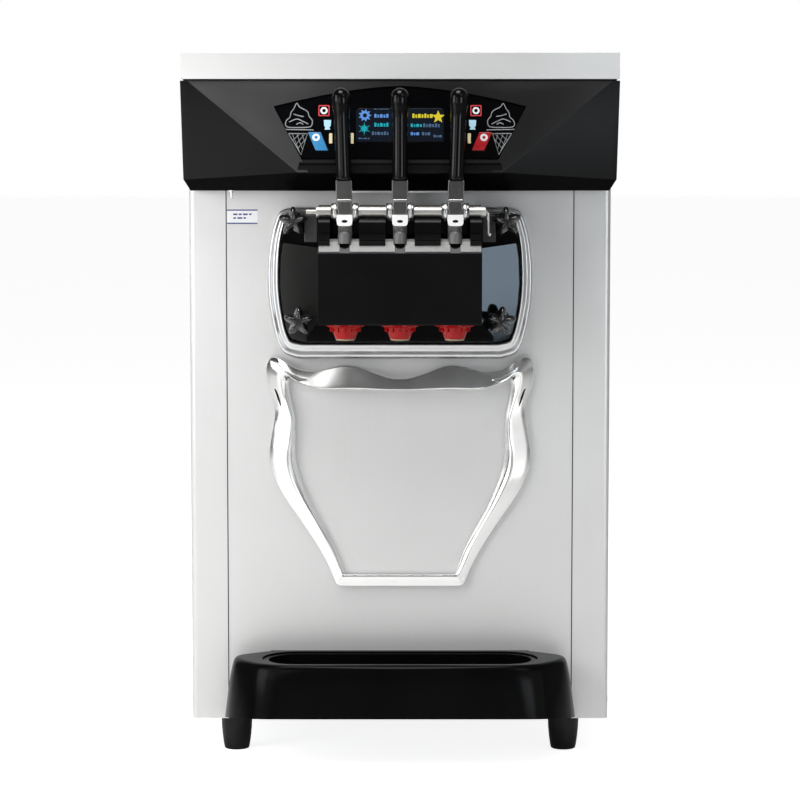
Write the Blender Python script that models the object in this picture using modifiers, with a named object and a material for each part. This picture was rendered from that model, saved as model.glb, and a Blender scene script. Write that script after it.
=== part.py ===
"""Countertop soft serve machine with three draw handles, built as separate named pieces.

Units are metres, +Z up, the front faces -Y. Every y below is measured from the outer face of the
front panel, and the whole machine hangs from an empty that puts its base centre on the origin.
"""

import math

import bmesh
import bpy
from mathutils import Matrix, Vector

# ---- Driving dimensions ----
FRONT_REACH = 0.118  # the drip tray's front, ahead of the front panel
REAR_REACH = 0.632  # the cord gland's end, behind the front panel
PANEL_Y = (FRONT_REACH - REAR_REACH) / 2  # where the front panel stands, so the depth is centred

BODY_X = 0.2605  # half the body's width
BODY_REAR = 0.612
BODY_BOTTOM = 0.047
BODY_TOP = 0.8435
SEAM_X = 0.2145  # seam between the front panel and the side panels
SHEET = 0.0015
GAP = 0.0004

HEAD_X = 0.267
DECK_X = 0.2660
DECK_FRONT = -0.055
DECK_REAR = 0.614
DECK_TOP = 0.876
DECK_FLOOR = 0.861  # the recess that the hopper lid lies in

VALVE_X = (-0.0665, 0.0, 0.0665)
SIDES = ("left", "centre", "right")
PIN_Y, PIN_Z = -0.092, 0.6843
PIN_R = 0.007
LEVER_ARM = 0.026  # from the pin to the plunger's axis
HANDLE_LEAN = 0.03  # how far the outer handles lean outwards, for each metre of height
PLUNGER_Y = PIN_Y + LEVER_ARM
PISTON_R = 0.0130
BORE_R = 0.0133
FINGER_R = 0.004
BOSS_HALF = 0.0166

BLOCK_X = 0.0985  # half the width of the block's front box
BLOCK_FRONT = -0.110
WING_FRONT = -0.036
BLOCK_BOTTOM = 0.5505
BLOCK_SHELF = 0.636  # top edge of the box's front face
BLOCK_DECK = 0.6465  # where the plungers enter

KNOB_PLACES = {
    "upper_left": (-0.130, 0.6716),
    "upper_right": (0.130, 0.6716),
    "lower_left": (-0.1235, 0.5503),
    "lower_right": (0.1235, 0.5503),
}
STUD_R = 0.004
KNOB_BACK, KNOB_FRONT = -0.0405, -0.0705

CYLINDER_X, CYLINDER_Z = 0.072, 0.605
CYLINDER_R, CYLINDER_WALL = 0.055, 0.004
CYLINDER_Y = (0.0085, 0.360)
PULLEY_Y = 0.510
MOTOR_X, MOTOR_Z = 0.140, 0.150

TRAY_TOP, TRAY_BOTTOM = 0.1335, 0.070
TRAY_DROP = 0.020
WELL_HALF, WELL_R, WELL_Y = 0.127, 0.0385, -0.051

SLOPE = math.atan2(0.024, 0.111)  # the head's upper face leans back by this much
FACE_TOP_Y, FACE_TOP_Z = -0.052, 0.842

COLOURS = {
    "stainless": ((0.72, 0.72, 0.73), 0.32, 1.0),
    "chrome": ((0.86, 0.86, 0.88), 0.08, 1.0),
    "black_gloss": ((0.012, 0.012, 0.014), 0.12, 0.0),
    "black_satin": ((0.03, 0.03, 0.032), 0.38, 0.0),
    "head_black": ((0.035, 0.035, 0.036), 0.42, 0.0),
    "rubber": ((0.02, 0.02, 0.02), 0.7, 0.0),
    "nozzle_red": ((0.55, 0.02, 0.02), 0.3, 0.0),
    "key_blue": ((0.05, 0.32, 0.62), 0.3, 0.0),
    "key_red": ((0.65, 0.03, 0.03), 0.3, 0.0),
    "painted_steel": ((0.30, 0.31, 0.32), 0.5, 0.6),
    "copper_fins": ((0.62, 0.60, 0.58), 0.45, 0.9),
    "nylon_white": ((0.8, 0.8, 0.78), 0.5, 0.0),
}


# ---- Scene and helpers ----
def clear_scene():
    for old in list(bpy.data.objects):
        bpy.data.objects.remove(old)


def collection(name, hidden=False):
    made = bpy.data.collections.new(name)
    bpy.context.scene.collection.children.link(made)
    made.hide_render = hidden
    return made


def material(name):
    found = bpy.data.materials.get(name)
    if found:
        return found
    colour, roughness, metallic = COLOURS[name]
    made = bpy.data.materials.new(name)
    made.use_nodes = True
    shader = made.node_tree.nodes["Principled BSDF"]
    shader.inputs["Base Color"].default_value = (*colour, 1)
    shader.inputs["Roughness"].default_value = roughness
    shader.inputs["Metallic"].default_value = metallic
    return made


clear_scene()
MACHINE = collection("soft_serve_machine")
CUTTERS = collection("cutters", hidden=True)
ROOT = bpy.data.objects.new("machine_frame", None)
ROOT.location = (0, PANEL_Y, 0)
MACHINE.objects.link(ROOT)


def part(name, shape, finish, origin=(0, 0, 0)):
    """Turns a finished shape into a named part of the machine, with its origin at a point."""
    shape.name = name
    shape.data.transform(Matrix.Translation(-Vector(origin)))
    shape.location = origin
    shape.data.materials.clear()
    shape.data.materials.append(material(finish))
    shape.data.shade_smooth()
    shape.data.set_sharp_from_angle(angle=math.radians(32))
    CUTTERS.objects.unlink(shape)
    MACHINE.objects.link(shape)
    shape.parent = ROOT
    return shape


def from_bmesh(bm):
    bmesh.ops.recalc_face_normals(bm, faces=bm.faces)
    mesh = bpy.data.meshes.new("shape")
    bm.to_mesh(mesh)
    bm.free()
    made = bpy.data.objects.new("shape", mesh)
    CUTTERS.objects.link(made)
    return made


def baked(obj):
    """The object as its modifiers leave it, as a plain mesh with welded corners."""
    bpy.context.view_layer.update()
    graph = bpy.context.evaluated_depsgraph_get()
    mesh = bpy.data.meshes.new_from_object(obj.evaluated_get(graph))
    mesh.transform(obj.matrix_world)
    bpy.data.objects.remove(obj)
    bm = bmesh.new()
    bm.from_mesh(mesh)
    bmesh.ops.remove_doubles(bm, verts=bm.verts, dist=1e-6)
    return from_bmesh(bm)


def box(low, high, round_edges=0.0, segments=2):
    bm = bmesh.new()
    low, high = Vector(low), Vector(high)
    place = Matrix.Translation((low + high) / 2) @ Matrix.Diagonal((*(high - low), 1))
    bmesh.ops.create_cube(bm, size=1, matrix=place)
    if round_edges:
        bmesh.ops.bevel(
            bm, geom=bm.edges, offset=round_edges, segments=segments, profile=0.5, affect="EDGES"
        )
    return from_bmesh(bm)


def along(start, direction):
    """A matrix that stands local +Z along the direction, at start."""
    turn = Vector(direction).to_track_quat("Z", "Y").to_matrix().to_4x4()
    return Matrix.Translation(start) @ turn


def rod(radius, start, end, sides=24, end_radius=None):
    start, end = Vector(start), Vector(end)
    bm = bmesh.new()
    place = along((start + end) / 2, end - start)
    bmesh.ops.create_cone(
        bm,
        cap_ends=True,
        segments=sides,
        radius1=radius,
        radius2=radius if end_radius is None else end_radius,
        depth=(end - start).length,
        matrix=place,
    )
    return from_bmesh(bm)


def turned(profile, start, direction, sides=24, closed=False):
    """Spins a profile of (radius, height) points about the direction with a Screw modifier."""
    bm = bmesh.new()
    points = [bm.verts.new((r, 0, h)) for r, h in profile]
    for a, b in zip(points, points[1:]):
        bm.edges.new((a, b))
    if closed:
        bm.edges.new((points[-1], points[0]))
    mesh = bpy.data.meshes.new("profile")
    bm.to_mesh(mesh)
    bm.free()
    made = bpy.data.objects.new("profile", mesh)
    CUTTERS.objects.link(made)
    made.matrix_world = along(start, direction)
    screw = made.modifiers.new("spin", "SCREW")
    screw.steps = screw.render_steps = sides
    screw.use_merge_vertices = True
    screw.merge_threshold = 0.00005
    return baked(made)


def plate(outlines, thickness, place=None, edge=0.0):
    """A flat plate from 2D outlines, the first its edge and the others its holes.

    Without a place it stands upright facing -Y: outline x, y become x, z, centred on y = 0."""
    curve = bpy.data.curves.new("outline", "CURVE")
    curve.dimensions = "2D"
    curve.fill_mode = "BOTH"
    curve.extrude = thickness / 2 - edge
    curve.bevel_depth = edge
    curve.bevel_resolution = 0
    curve.offset = -edge
    for outline in outlines:
        spline = curve.splines.new("POLY")
        spline.points.add(len(outline) - 1)
        for point, (x, y) in zip(spline.points, outline):
            point.co = (x, y, 0, 1)
        spline.use_cyclic_u = True
    made = bpy.data.objects.new("plate", curve)
    CUTTERS.objects.link(made)
    made.matrix_world = place or Matrix.Rotation(math.pi / 2, 4, "X")
    return baked(made)


def upright(y):
    """Where a plate stands so that it faces -Y with its middle at y."""
    return Matrix.Translation((0, y, 0)) @ Matrix.Rotation(math.pi / 2, 4, "X")


def lying(z):
    return Matrix.Translation((0, 0, z))


def loft(loops, cap=True):
    """Joins loops of the same number of points, and closes both ends or joins last to first."""
    bm = bmesh.new()
    rows = [[bm.verts.new(p) for p in loop] for loop in loops]
    count = len(rows[0])
    pairs = list(zip(rows, rows[1:]))
    if not cap:
        pairs.append((rows[-1], rows[0]))
    for a, b in pairs:
        for i in range(count):
            j = (i + 1) % count
            bm.faces.new((a[i], a[j], b[j], b[i]))
    if cap:
        bm.faces.new(rows[0])
        bm.faces.new(reversed(rows[-1]))
    return from_bmesh(bm)


def combine(shape, other, operation):
    change = shape.modifiers.new(operation.lower(), "BOOLEAN")
    change.operation = operation
    change.object = other
    done = baked(shape)
    bpy.data.objects.remove(other)
    return done


def cut(shape, *cutters):
    for cutter in cutters:
        shape = combine(shape, cutter, "DIFFERENCE")
    return shape


def joined(shape, *others):
    for other in others:
        shape = combine(shape, other, "UNION")
    return shape


def moved(shape, matrix):
    shape.data.transform(matrix)
    return shape


def arc(centre, radius, start, end, steps):
    """Points on an arc, angles in degrees."""
    found = []
    for i in range(steps + 1):
        angle = math.radians(start + (end - start) * i / steps)
        found.append((centre[0] + radius * math.cos(angle), centre[1] + radius * math.sin(angle)))
    return found


def rounded_rectangle(low, high, radius, steps=4):
    (x0, y0), (x1, y1) = low, high
    return (
        arc((x1 - radius, y1 - radius), radius, 0, 90, steps)
        + arc((x0 + radius, y1 - radius), radius, 90, 180, steps)
        + arc((x0 + radius, y0 + radius), radius, 180, 270, steps)
        + arc((x1 - radius, y0 + radius), radius, 270, 360, steps)
    )


def stadium(half_length, radius, centre_y, steps=10):
    right = arc((half_length, centre_y), radius, -90, 90, steps)
    left = arc((-half_length, centre_y), radius, 90, 270, steps)
    return right + left


def smooth(points, steps, closed=False):
    """A Catmull-Rom curve through points of any dimension."""
    vectors = [Vector(p) for p in points]
    count = len(vectors)
    found = []
    for i in range(count if closed else count - 1):
        p0 = vectors[i - 1] if closed or i else vectors[0]
        p1 = vectors[i]
        p2 = vectors[(i + 1) % count]
        p3 = vectors[(i + 2) % count] if closed or i + 2 < count else vectors[-1]
        for k in range(steps):
            t = k / steps
            a = 2 * p1
            b = (p2 - p0) * t
            c = (2 * p0 - 5 * p1 + 4 * p2 - p3) * t * t
            d = (3 * p1 - p0 - 3 * p2 + p3) * t**3
            found.append((a + b + c + d) / 2)
    if not closed:
        found.append(vectors[-1])
    return found


def mirrored(half):
    """A closed outline from its right half, listed from the top centre to the bottom centre."""
    left = [(-x, y) for x, y in reversed(half) if abs(x) > 1e-6]
    return list(half) + left


# ---- Cabinet ----
def chassis():
    """Base pan with corner posts, and two rails that carry the gearboxes."""
    inner_x = BODY_X - 0.0030
    front, rear = 0.0035, BODY_REAR - 0.0045
    floor = BODY_BOTTOM + 0.002
    pan = box((-inner_x, front, BODY_BOTTOM), (inner_x, rear, BODY_BOTTOM + 0.016))
    hollow = box(
        (-inner_x + 0.002, front + 0.002, floor), (inner_x - 0.002, rear - 0.002, BODY_TOP)
    )
    pan = cut(pan, hollow)
    post = 0.016
    for x in (-inner_x + 0.001, inner_x - 0.001 - post):
        for y in (front + 0.001, rear - 0.001 - post):
            pan = joined(pan, box((x, y, floor - 0.001), (x + post, y + post, BODY_TOP - 0.004)))
    for y in (0.385, 0.435):
        rail = box((-inner_x + 0.004, y, 0.544), (inner_x - 0.004, y + 0.018, 0.554))
        end = 0.017
        left = box((-inner_x + 0.001, y, 0.055), (-inner_x + end, y + 0.018, 0.5535))
        right = box((inner_x - end, y, 0.055), (inner_x - 0.001, y + 0.018, 0.5535))
        feet = [
            box((s * 0.249 - 0.008, y, floor - 0.001), (s * 0.249 + 0.008, y + 0.018, 0.06))
            for s in (-1, 1)
        ]
        pan = joined(pan, joined(rail, left, right, *feet))
    part("chassis", pan, "painted_steel")


def front_panel():
    outline = rounded_rectangle((-SEAM_X, BODY_BOTTOM + 0.001), (SEAM_X, BODY_TOP - 0.002), 0.001, 1)
    opening = rounded_rectangle((-0.141, 0.527), (0.141, 0.685), 0.012, 3)
    part("front_panel", plate([outline, opening], SHEET, upright(SHEET / 2)), "stainless")


def side_panel(name, side):
    """An L in plan: the side wall, and the strip that it folds round the front corner."""
    outer, inner = BODY_X, BODY_X - SHEET
    fold = 0.006
    plan = (
        [(SEAM_X + GAP, 0), (outer - fold, 0)]
        + arc((outer - fold, fold), fold, -90, 0, 4)[1:]
        + [(outer, BODY_REAR - 0.0025), (inner, BODY_REAR - 0.0025), (inner, fold)]
        + arc((outer - fold, fold), fold - SHEET, 0, -90, 4)[1:]
        + [(SEAM_X + GAP, SHEET)]
    )
    height = BODY_TOP - 0.001 - BODY_BOTTOM
    wall = plate([plan], height, lying(BODY_BOTTOM + height / 2))
    for row in range(11):
        z = 0.130 + 0.026 * row
        wall = cut(wall, box((inner - 0.01, 0.24, z), (outer + 0.01, 0.50, z + 0.009)))
    if side < 0:
        wall = moved(wall, Matrix.Diagonal((-1, 1, 1, 1)))
        wall.data.flip_normals()
    part(name, wall, "stainless")


def rear_panel():
    low, high = (-BODY_X, BODY_BOTTOM), (BODY_X, BODY_TOP - 0.001)
    holes = []
    for column in (-0.115, 0.115):
        for row in range(8):
            z = 0.22 + 0.048 * row
            holes.append(rounded_rectangle((column - 0.09, z), (column + 0.09, z + 0.014), 0.005, 1))
    gland_hole = arc((0.19, 0.105), 0.0105, 0, 345, 15)
    sheet = plate(
        [rounded_rectangle(low, high, 0.002, 1), gland_hole, *holes],
        0.002,
        upright(BODY_REAR - 0.001),
    )
    part("rear_panel", sheet, "stainless")


def top_deck():
    """The stainless top, a folded sheet: a rim round a recess with the two hopper openings."""
    deck = box((-DECK_X, DECK_FRONT, BODY_TOP - 0.01), (DECK_X, DECK_REAR, DECK_TOP), 0.0035, 2)
    recess = box((-0.222, 0.062, DECK_FLOOR), (0.222, 0.452, DECK_TOP + 0.01))
    hollow = box(
        (-DECK_X + 0.003, DECK_FRONT + 0.003, BODY_TOP - 0.02),
        (DECK_X - 0.003, DECK_REAR - 0.003, DECK_TOP - 0.0025),
    )
    well = box((-0.2245, 0.0595, DECK_FLOOR - 0.002), (0.2245, 0.4545, DECK_TOP + 0.01))
    below = box((-0.3, -0.1, 0.80), (0.3, 0.7, BODY_TOP + 0.0004))
    deck = cut(deck, recess, cut(hollow, well), below)
    for side in (-1, 1):
        x = side * 0.113
        deck = cut(deck, box((x - 0.0935, 0.0965, 0.80), (x + 0.0935, 0.4165, 0.90)))
    part("top_deck", deck, "stainless")


def foot(name, x, y):
    top = BODY_BOTTOM - GAP
    profile = [(0, top), (0.0195, top), (0.0195, 0.036), (0.0182, 0.018), (0.0158, 0.002)]
    part(name, turned(profile + [(0.0148, 0), (0, 0)], (x, y, 0), (0, 0, 1), 16), "rubber")


# ---- Head and controls ----
def face_y(z):
    """The head's upper face leans back: y of its surface at a height."""
    return FACE_TOP_Y - math.tan(SLOPE) * (FACE_TOP_Z - z)


def head_shape(inset=0.0):
    """The faceted hood as a solid: top edge, ridge from the corners down to the middle, chin."""
    top_z, corner_z, ridge_z, chin_z = FACE_TOP_Z, 0.722, 0.731, 0.7085
    i = inset
    back = 0.040 + i
    rows = [
        [(HEAD_X - i, back), (HEAD_X - i, FACE_TOP_Y + i), (0.122 - i, FACE_TOP_Y + i)],
        [(0.2642 - i, back), (0.2642 - i, -0.044 + i), (0.122 - i, face_y(ridge_z) + i)],
        [(0.2585 - i, back), (0.2585 - i, -0.034 + i), (0.118 - i, -0.050 + i)],
    ]
    heights = [
        (top_z + i, top_z + i, top_z + i),
        (corner_z, corner_z, ridge_z),
        (chin_z - i, chin_z - i, chin_z - i),
    ]
    bm = bmesh.new()
    grid = []
    for row, levels in zip(rows, heights):
        right = [Vector((x, y, z)) for (x, y), z in zip(row, levels)]
        left = [Vector((-p.x, p.y, p.z)) for p in reversed(right)]
        grid.append([bm.verts.new(p) for p in right + left])
    top, mid, low = grid
    for a, b in ((top, mid), (mid, low)):
        for k in range(5):
            if a is top and k == 1:  # the corner splits along the ridge
                bm.faces.new((a[1], b[1], b[2]))
                bm.faces.new((a[1], b[2], a[2]))
            elif a is top and k == 3:
                bm.faces.new((a[4], b[3], b[4]))
                bm.faces.new((a[4], a[3], b[3]))
            else:
                bm.faces.new((a[k], b[k], b[k + 1], a[k + 1]))
        bm.faces.new((a[5], b[5], b[0], a[0]))
    bm.faces.new(top)
    bm.faces.new(reversed(low))
    return from_bmesh(bm)


def face_frame(depth=0.0):
    """Local x, y on the head's upper face, origin at its top edge; depth is into the head."""
    start = Vector((0, FACE_TOP_Y, FACE_TOP_Z))
    inward = Vector((0, math.cos(SLOPE), -math.sin(SLOPE)))
    turn = Matrix.Rotation(math.pi / 2 - SLOPE, 4, "X")
    return Matrix.Translation(start + inward * depth) @ turn


def fascia_outline(grow=0.0):
    """The control panel: narrow below, wide above, with a low arched top. y is up the face."""
    g = grow
    half = []
    for k in range(7):
        share = k / 6
        half.append(((0.1520 + g) * share, -0.0075 + g - 0.025 * share**1.6))
    return mirrored(half + [(0.1190 + g, -0.0955 - g)])


def head_cover():
    head = head_shape()
    cavity = head_shape(0.003)
    rear = box((-0.2612, 0.0, 0.60), (0.2612, 0.10, BODY_TOP + 0.01))
    behind = box((-0.2612, -0.012, 0.7115), (0.2612, 0.06, BODY_TOP + 0.01))
    recess = plate([fascia_outline(0.0007)], 0.012, face_frame(0.0))
    ledge_cut = box((-0.1205, -0.10, 0.7330), (0.1205, -0.0705, 0.7478))
    head = cut(head, cavity, rear, behind, recess, ledge_cut)
    head = joined(head, rod(0.002, (-0.206, -0.0385, 0.7110), (-0.206, -0.0385, 0.6985), 10))
    part("head_cover", head, "head_black")


KEY_OUTLINE = [(-0.0123, 0.0112), (0.0030, 0.0112), (0.0123, -0.0112), (-0.0030, -0.0112)]
KEY_X, KEY_UP = 0.0990, -0.0745


def key_outline(side, grow=0.0):
    """A leaning four-sided key; the two keys mirror each other."""
    found = []
    for x, y in KEY_OUTLINE:
        wide = x + math.copysign(grow, x)
        tall = y + math.copysign(grow, y)
        found.append((side * (KEY_X - wide), KEY_UP + tall))
    return found


def window_outline(grow=0.0):
    g = grow
    return rounded_rectangle((-0.0533 - g, -0.0750 - g), (0.0533 + g, -0.0335 + g), 0.003, 2)


def controls():
    fascia = plate([fascia_outline(), window_outline(GAP)], 0.004, face_frame(0.0040))
    for side in (-1, 1):
        fascia = cut(fascia, plate([key_outline(side, 0.0006)], 0.02, face_frame(0.003)))
    part("control_fascia", fascia, "black_gloss")
    part("display_window", plate([window_outline()], 0.003, face_frame(0.0036)), "black_gloss")
    for side, name, finish in ((-1, "left_key", "key_blue"), (1, "right_key", "key_red")):
        part(name, plate([key_outline(side)], 0.0044, face_frame(0.0033)), finish)


# ---- Dispensing head ----
def door_outer():
    """Outline of the bright surround: bowed sides, round lower corners."""
    side = [(0.1330, 0.6880), (0.1470, 0.6830), (0.1545, 0.6700), (0.1600, 0.6480)]
    side += [(0.1636, 0.6200), (0.1643, 0.5950), (0.1628, 0.5720), (0.1590, 0.5480)]
    side += [(0.1548, 0.5300), (0.1500, 0.5165), (0.1415, 0.5065), (0.1250, 0.5010)]
    return mirrored([(p[0], p[1]) for p in smooth(side, 2)])


def door_inner(grow=0.0):
    """Outline of the block's flange, which the surround runs round; grow moves it outwards."""
    g = grow
    side = [(0.1250, 0.6795 + g), (0.1375 + g, 0.6765 + g), (0.1430 + g, 0.6620)]
    side += [(0.1465 + g, 0.6450), (0.1482 + g, 0.6250), (0.1487 + g, 0.5950)]
    side += [(0.1468 + g, 0.5700), (0.1430 + g, 0.5480), (0.1395 + g, 0.5340)]
    side += [(0.1345 + g, 0.5245 - g), (0.1200, 0.5210 - g)]
    return mirrored([(p[0], p[1]) for p in smooth(side, 2)])


def door_surround():
    ring = plate([door_outer(), door_inner()], 0.0275, upright(-0.0275 / 2 - GAP), 0.003)
    part("door_surround", ring, "chrome")


def faceplate():
    """The steel plate that the freezing cylinders and the four door studs are welded to."""
    outline = rounded_rectangle((-0.1405, 0.5275), (0.1405, 0.6845), 0.0115, 3)
    sheet = plate([outline], 0.008, upright(0.004))
    for x in (-CYLINDER_X, CYLINDER_X):
        sheet = cut(sheet, rod(0.0505, (x, -0.01, CYLINDER_Z), (x, 0.02, CYLINDER_Z), 24))
    for x, z in KNOB_PLACES.values():
        sheet = joined(sheet, rod(STUD_R, (x, 0.004, z), (x, -0.056, z), 8))
    part("cylinder_faceplate", sheet, "stainless")


def hump(x0, x1):
    """A saddle for the pivot pin, rounded in front, higher behind the pin."""
    side = [(-0.072, 0.640), (-0.072, 0.6860), (-0.0915, 0.6860), (-0.0915, 0.6770)]
    side += [(y, z) for y, z in arc((-0.0990, 0.6680), 0.009, 90, 180, 3)]
    side += [(-0.108, 0.640)]
    place = Matrix.Translation(((x0 + x1) / 2, 0, 0)) @ Matrix(
        ((0, 0, 1, 0), (1, 0, 0, 0), (0, 1, 0, 0), (0, 0, 0, 1))
    )
    return plate([side], x1 - x0, place)


def dispensing_block():
    depth = -WING_FRONT - GAP
    wing = plate([door_inner(-0.0008)], depth, upright(-depth / 2 - GAP))
    front = [(-0.030, BLOCK_BOTTOM), (BLOCK_FRONT, BLOCK_BOTTOM), (BLOCK_FRONT, BLOCK_SHELF)]
    front += [(-0.101, BLOCK_DECK), (-0.030, BLOCK_DECK)]
    sideways = Matrix(((0, 0, 1, 0), (1, 0, 0, 0), (0, 1, 0, 0), (0, 0, 0, 1)))
    block = joined(wing, plate([front], 2 * BLOCK_X, sideways))
    for x0, x1 in ((0.0175, 0.0490), (0.0840, BLOCK_X)):
        block = joined(block, hump(x0, x1), hump(-x1, -x0))
    seat = rod(PIN_R + 0.0003, (-0.2, PIN_Y, PIN_Z), (0.2, PIN_Y, PIN_Z), 20)
    block = cut(block, seat)
    for x in VALVE_X:
        bumper = rod(0.0085, (x, -0.0990, 0.640), (x, -0.0990, 0.6566), 10, 0.0062)
        block = joined(block, bumper)
        block = cut(block, rod(BORE_R, (x, PLUNGER_Y, 0.54), (x, PLUNGER_Y, 0.70), 16))
    for x in (VALVE_X[0], VALVE_X[2]):
        block = cut(block, rod(0.008, (x, 0.01, 0.568), (x, PLUNGER_Y, 0.568), 8))
    block = cut(block, box((-0.046, PLUNGER_Y, 0.561), (0.046, 0.01, 0.575)))
    for x, z in KNOB_PLACES.values():
        block = cut(block, rod(STUD_R + 0.001, (x, -0.06, z), (x, 0.01, z), 8))
    part("dispensing_block", block, "black_gloss")


def star_outline(outer, inner, points, steps=2, phase=90):
    """A star with round tips: the radius follows a smooth wave between inner and outer."""
    found = []
    count = points * 2 * steps
    for i in range(count):
        angle = 2 * math.pi * i / count
        swell = (0.5 + 0.5 * math.cos(points * angle)) ** 1.4
        radius = inner + (outer - inner) * swell
        turn = angle + math.radians(phase)
        found.append((radius * math.cos(turn), radius * math.sin(turn)))
    return found


def star_knob(name, x, z):
    """A five-lobed hand knob with a hub behind and a blind thread for its stud."""
    depth = KNOB_BACK - KNOB_FRONT - 0.008
    star = [(x + a, z + b) for a, b in star_outline(0.0188, 0.0098, 5)]
    lobes = plate([star], depth, upright(KNOB_FRONT + depth / 2), 0.002)
    hub = rod(0.0095, (x, KNOB_BACK, z), (x, KNOB_FRONT + 0.004, z), 20)
    thread = rod(STUD_R + 0.0005, (x, -0.03, z), (x, -0.060, z), 8)
    part(name, cut(joined(lobes, hub), thread), "black_satin", (x, KNOB_BACK, z))


def plunger(name, x):
    """The draw valve: a piston that shuts the feed port, and a slotted head for the lever."""
    head_top = PIN_Z + 0.0105
    profile = [(0, head_top), (0.0075, head_top), (0.0085, head_top - 0.001), (0.0085, 0.6425)]
    profile += [(PISTON_R, 0.6385), (PISTON_R, 0.632), (0.0112, 0.6305), (0.0112, 0.6285)]
    profile += [(PISTON_R, 0.627), (PISTON_R, 0.5535), (0.0115, 0.5520), (0, 0.5520)]
    piston = turned(profile, (x, PLUNGER_Y, 0), (0, 0, 1), 16)
    slot = 0.0053
    window = box(
        (x - 0.02, PLUNGER_Y - 0.02, PIN_Z - slot), (x + 0.02, PLUNGER_Y + 0.0048, PIN_Z + slot)
    )
    part(name, cut(piston, window), "nylon_white", (x, PLUNGER_Y, PIN_Z))


def leaned(shape, x):
    """Shears a handle's upper parts so that the outer two lean away from the middle one."""
    lean = Matrix.Identity(4)
    lean[0][2] = math.copysign(HANDLE_LEAN, x) if x else 0.0
    pivot = Vector((x, PIN_Y, PIN_Z))
    return moved(shape, Matrix.Translation(pivot) @ lean @ Matrix.Translation(-pivot))


def lever(name, x):
    """Lever: bar and stud for the grip, pivot boss, front tongue, and rear finger."""
    boss = rod(0.0105, (x - BOSS_HALF, PIN_Y, PIN_Z), (x + BOSS_HALF, PIN_Y, PIN_Z), 20)
    bar = box((x - 0.01, PIN_Y - 0.0035, PIN_Z), (x + 0.01, PIN_Y + 0.0035, 0.7224), 0.0012, 1)
    bar = leaned(bar, x)
    stud = leaned(rod(0.0030, (x, PIN_Y, 0.715), (x, PIN_Y, 0.744), 10), x)
    outline = rounded_rectangle((x - 0.0095, 0.6618), (x + 0.0095, 0.6810), 0.003, 2)
    tongue = plate([outline], 0.007, upright(-0.1030))
    neck = box((x - 0.005, PIN_Y, PIN_Z - 0.002), (x + 0.005, PLUNGER_Y, PIN_Z + 0.002))
    finger = rod(FINGER_R, (x - 0.005, PLUNGER_Y, PIN_Z), (x + 0.005, PLUNGER_Y, PIN_Z), 12)
    body = joined(boss, bar, stud, tongue, neck, finger)
    bore = rod(PIN_R + 0.0003, (x - 0.03, PIN_Y, PIN_Z), (x + 0.03, PIN_Y, PIN_Z), 20)
    hole = rod(0.0024, (x, -0.12, 0.6680), (x, -0.0985, 0.6680), 10)
    part(name, cut(body, bore, hole), "chrome", (x, PIN_Y, PIN_Z))


def grip(name, x):
    """Long black grip with a domed, slightly swollen top."""
    low, high = 0.7228, 0.8330
    dome = arc((0, high - 0.0118), 0.0118, 90, 0, 4)
    profile = dome + [(0.0118, 0.8170), (0.0098, 0.8085), (0.0092, 0.770), (0.0097, 0.726)]
    profile += [(0.0092, low), (0.0034, low), (0.0034, 0.748), (0, 0.748)]
    shape = leaned(turned(profile, (x, PIN_Y, 0), (0, 0, 1), 16), x)
    part(name, shape, "rubber", (x, PIN_Y, PIN_Z))


def pivot_pin():
    """Stainless pin through all three levers; its right end turns down as a finger pull."""
    pin = rod(PIN_R, (-0.1005, PIN_Y, PIN_Z), (0.1065, PIN_Y, PIN_Z), 20)
    leg = rod(0.0022, (0.1035, PIN_Y, PIN_Z), (0.1035, PIN_Y, 0.6560), 12)
    toe = rod(0.0022, (0.1015, PIN_Y, 0.6565), (0.1095, PIN_Y, 0.6565), 12)
    part("pivot_pin", joined(pin, leg, toe), "chrome", (0, PIN_Y, PIN_Z))


def nozzle(name, x):
    """Red star cap under a valve: flange, taper, and a six-point star opening."""
    profile = [(0, 0.5500), (0.0260, 0.5500), (0.0262, 0.5465), (0.0215, 0.5430)]
    profile += [(0.0140, 0.5300), (0.0128, 0.5275), (0, 0.5275)]
    cap = turned(profile, (x, PLUNGER_Y, 0), (0, 0, 1), 20)
    star = [(x + a, PLUNGER_Y + b) for a, b in star_outline(0.0088, 0.0050, 6)]
    part(name, cut(cap, plate([star], 0.06, lying(0.54))), "nozzle_red")


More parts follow.
